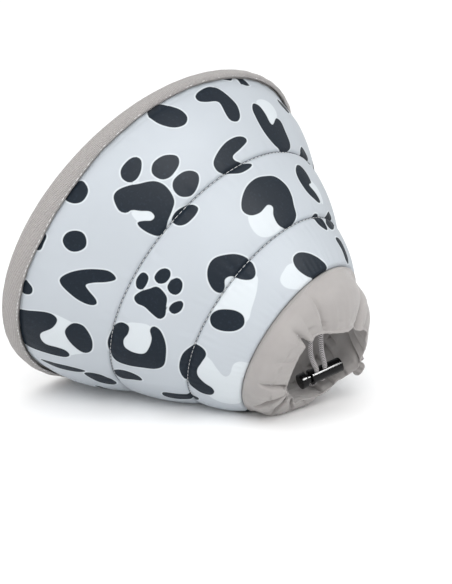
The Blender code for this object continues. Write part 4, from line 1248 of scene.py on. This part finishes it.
class COLLAR_OT_drawcord(bpy.types.Operator):
    """Lay the drawcord: out of the lock, through the slit and once round in the cuff."""

    bl_idname = "collar.drawcord"
    bl_label = "Drawcord"

    def execute(self, context):
        colours = context.scene.collar_colours
        look = braided_elastic(colours)
        path, length = smooth_path(cord_route(), 0.3 * MM)
        cord = link("braided_drawcord", tube_mesh("braided_drawcord", path, CORD_RADIUS, 24, 600.0, 0.13), look)
        dress(cord, "elastic_cord", "collar", "drawcord")
        knot = link("overhand_knot", self.knot_mesh(), look)
        dress(knot, "elastic_cord", "collar", "cord_knot")
        return {"FINISHED"}

    def knot_mesh(self):
        """Tight overhand knot: a trefoil of the same cord."""
        turn = np.linspace(0.0, 2.0 * math.pi, 121)
        x = np.sin(turn) + 2.0 * np.sin(2.0 * turn)
        y = np.cos(turn) - 2.0 * np.cos(2.0 * turn)
        z = -1.2 * np.sin(3.0 * turn)
        size = (KNOT_RADIUS - 0.8 * CORD_RADIUS) / 3.0
        path = np.stack([x, y, z], axis=1) * size + np.array(cuff_point(KNOT_PLACE))
        return tube_mesh("overhand_knot", path, 0.8 * CORD_RADIUS, 14, 640.0, 0.05)


class COLLAR_OT_cone(bpy.types.Operator):
    """Make the quilted cone with its printed cloth."""

    bl_idname = "collar.cone"
    bl_label = "Quilted cone"

    def execute(self, context):
        colours, sizes = context.scene.collar_colours, context.scene.collar_sizes
        cone = link("quilted_cone", cone_mesh(sizes.pucker, sizes.groove), printed_polyester(colours, sizes))
        dress(cone, "printed_polyester", "collar", "padded_cone")
        return {"FINISHED"}


class COLLAR_OT_tape(bpy.types.Operator):
    """Fold the binding tape over the rim."""

    bl_idname = "collar.tape"
    bl_label = "Rim tape"

    def execute(self, context):
        tape = link("rim_tape", tape_mesh(), twill_tape(context.scene.collar_colours))
        dress(tape, "binding_tape", "collar", "rim_binding")
        return {"FINISHED"}


class COLLAR_OT_cuff(bpy.types.Operator):
    """Gather the cuff and set the strip end at its lip."""

    bl_idname = "collar.cuff"
    bl_label = "Neck cuff"

    def execute(self, context):
        colours = context.scene.collar_colours
        cuff = link("gathered_cuff", cuff_mesh(), cuff_cotton(colours))
        dress(cuff, "cuff_cloth", "collar", "neck_cuff")
        strip = link("strip_end", self.strip_mesh(), fastening_tape(colours))
        dress(strip, "fastening_strip", "collar", "closure_tab")
        return {"FINISHED"}

    def strip_mesh(self):
        """Short woven strip end with rounded corners."""
        low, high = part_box("closure_tab")
        angle = math.radians(TAB_ANGLE)
        out = Vector(math.cos(angle) * UP + math.sin(angle) * SIDE)
        tangent = out.cross(Vector(DIRECTION))
        place = frame_matrix((low + high) / 2.0, tangent, out)
        mesh = bpy.data.meshes.new("strip_end")
        work = bmesh.new()
        bmesh.ops.create_grid(work, x_segments=24, y_segments=16, size=0.5)
        for vert in work.verts:
            x, y = vert.co.x, vert.co.y
            vert.co.x, vert.co.y = x * (1.0 - TAB_ROUNDING * y * y), y * (1.0 - TAB_ROUNDING * x * x)
        bmesh.ops.scale(work, vec=(TAB_LENGTH, TAB_WIDTH, 1.0), verts=work.verts)
        made = bmesh.ops.extrude_face_region(work, geom=work.faces[:])
        lifted = [v for v in made["geom"] if isinstance(v, bmesh.types.BMVert)]
        bmesh.ops.translate(work, vec=(0, 0, TAB_THICKNESS), verts=lifted)
        bmesh.ops.translate(work, vec=(0, 0, -TAB_THICKNESS / 2.0), verts=work.verts)
        bmesh.ops.recalc_face_normals(work, faces=work.faces)
        bmesh.ops.transform(work, matrix=place, verts=work.verts)
        work.to_mesh(mesh)
        work.free()
        return mesh


class COLLAR_OT_lock(bpy.types.Operator):
    """Turn the cord lock's barrel and its sprung button."""

    bl_idname = "collar.lock"
    bl_label = "Cord lock"

    def execute(self, context):
        look = moulded_acetal(context.scene.collar_colours)
        start, end = BARREL_START, BARREL_START + BARREL_LENGTH
        bore = start + BARREL_LENGTH - 1.6 * MM
        shell = rounded([(bore, 0.0), (bore, BORE_RADIUS), (start, BORE_RADIUS),
                         (start, FLANGE_RADIUS), (start + FLANGE_LENGTH, FLANGE_RADIUS),
                         (start + FLANGE_LENGTH, BARREL_RADIUS), (end, BARREL_RADIUS), (end, 0.0)],
                        0.5 * MM)
        barrel = link("lock_barrel", turned_mesh("lock_barrel", shell, lock_frame()), look)
        holes = [cord_hole(start + hole, CORD_RADIUS + CORD_CLEARANCE) for hole in CORD_HOLES]
        carve(barrel, holes)
        dress(barrel, "black_plastic", "collar", "cord_lock_barrel")
        stem, stem_end = BORE_RADIUS - GAP, start + STEM_LENGTH
        head = rounded([(0.0, 0.0), (0.0, BUTTON_RADIUS), (BUTTON_LENGTH, BUTTON_RADIUS),
                        (BUTTON_LENGTH, stem), (stem_end, stem), (stem_end, 0.0)], 0.7 * MM)
        button = link("lock_button", turned_mesh("lock_button", head, lock_frame()), look)
        carve(button, [self.slot_cutter()])
        dress(button, "black_plastic", "button", "cord_lock_button")
        return {"FINISHED"}

    def slot_cutter(self):
        """Cutter for the slot in the stem that the cord passes through."""
        half = CORD_RADIUS + CORD_CLEARANCE
        low = BARREL_START + CORD_HOLES[0] - half - BUTTON_TRAVEL
        high = BARREL_START + CORD_HOLES[-1] + half
        mesh = bpy.data.meshes.new("slot")
        work = bmesh.new()
        bmesh.ops.create_cube(work, size=1.0)
        bmesh.ops.scale(work, vec=(high - low, 2.0 * half, 4.0 * BORE_RADIUS), verts=work.verts)
        place = lock_frame() @ Matrix.Translation(((low + high) / 2.0, 0.0, 0.0))
        bmesh.ops.transform(work, matrix=place, verts=work.verts)
        work.to_mesh(mesh)
        work.free()
        return link("slot", mesh)


class COLLAR_OT_stitches(bpy.types.Operator):
    """Sew the quilt lines and the tape's edge."""

    bl_idname = "collar.stitches"
    bl_label = "Stitches"

    def execute(self, context):
        sizes = context.scene.collar_sizes
        degrees = np.arange(0.0, 360.0, 0.5)
        quilt = []
        for line in QUILT_LINES[1:3]:
            along = np.full_like(degrees, line * SLANT)
            for side in (1, -1):
                sunk = sizes.groove * (1.0 if side > 0 else 0.6)
                out = wall_out(degrees, along, side, 0.0, sunk) + side * 0.1 * MM
                quilt.append(settled_points(degrees, *along_and_out(along, out)))
        white = stitch_tree("quilt_stitches", sewing_thread("white_polyester_thread", "D6D9DB"))
        dress(sewn("quilt_stitches", quilt, white, sizes, 0.78), "printed_polyester", "collar")
        start = 0.45 * ((TAPE_THICKNESS + GAP) + STITCHED_WALL / 2.0)
        extra = MM * round_table(TAPE_EXTRA, degrees, 1)
        depth = 2.0 * (TAPE_THICKNESS + GAP) + STITCHED_WALL
        edge = [settled_points(degrees, *along_and_out(
            TAPE_WIDTH - start - 0.8 * MM + wider, np.full_like(degrees, out)))
            for wider, out in ((extra, 0.42 * MM), (0.0 * extra, -depth - 0.42 * MM))]
        grey = stitch_tree("tape_stitches", sewing_thread("grey_polyester_thread", "8E8B89"))
        dress(sewn("tape_stitches", edge, grey, sizes, 0.75), "binding_tape", "collar")
        return {"FINISHED"}


class COLLAR_PT_panel(bpy.types.Panel):
    """The collar's steps, sizes and colours in the 3D view's sidebar."""

    bl_idname = "COLLAR_PT_panel"
    bl_label = "Padded collar"
    bl_space_type = "VIEW_3D"
    bl_region_type = "UI"
    bl_category = "Collar"

    def draw(self, context):
        for step in STEPS:
            self.layout.operator(step.bl_idname)
        for group in (context.scene.collar_sizes, context.scene.collar_colours):
            for key in group.__annotations__:
                self.layout.prop(group, key)


STEPS = (COLLAR_OT_stage, COLLAR_OT_drawcord, COLLAR_OT_cone, COLLAR_OT_tape, COLLAR_OT_cuff,
         COLLAR_OT_lock, COLLAR_OT_stitches)


def register():
    for made in (CollarColours, CollarSizes) + STEPS + (COLLAR_PT_panel,):
        bpy.utils.register_class(made)
    bpy.types.Scene.collar_colours = bpy.props.PointerProperty(type=CollarColours)
    bpy.types.Scene.collar_sizes = bpy.props.PointerProperty(type=CollarSizes)


def unregister():
    del bpy.types.Scene.collar_sizes
    del bpy.types.Scene.collar_colours
    for made in ((CollarColours, CollarSizes) + STEPS + (COLLAR_PT_panel,))[::-1]:
        bpy.utils.unregister_class(made)


def main():
    """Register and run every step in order."""
    register()
    bpy.ops.collar.stage()
    bpy.ops.collar.drawcord()
    bpy.ops.collar.cone()
    bpy.ops.collar.tape()
    bpy.ops.collar.cuff()
    bpy.ops.collar.lock()
    bpy.ops.collar.stitches()


if __name__ == "__main__":
    main()
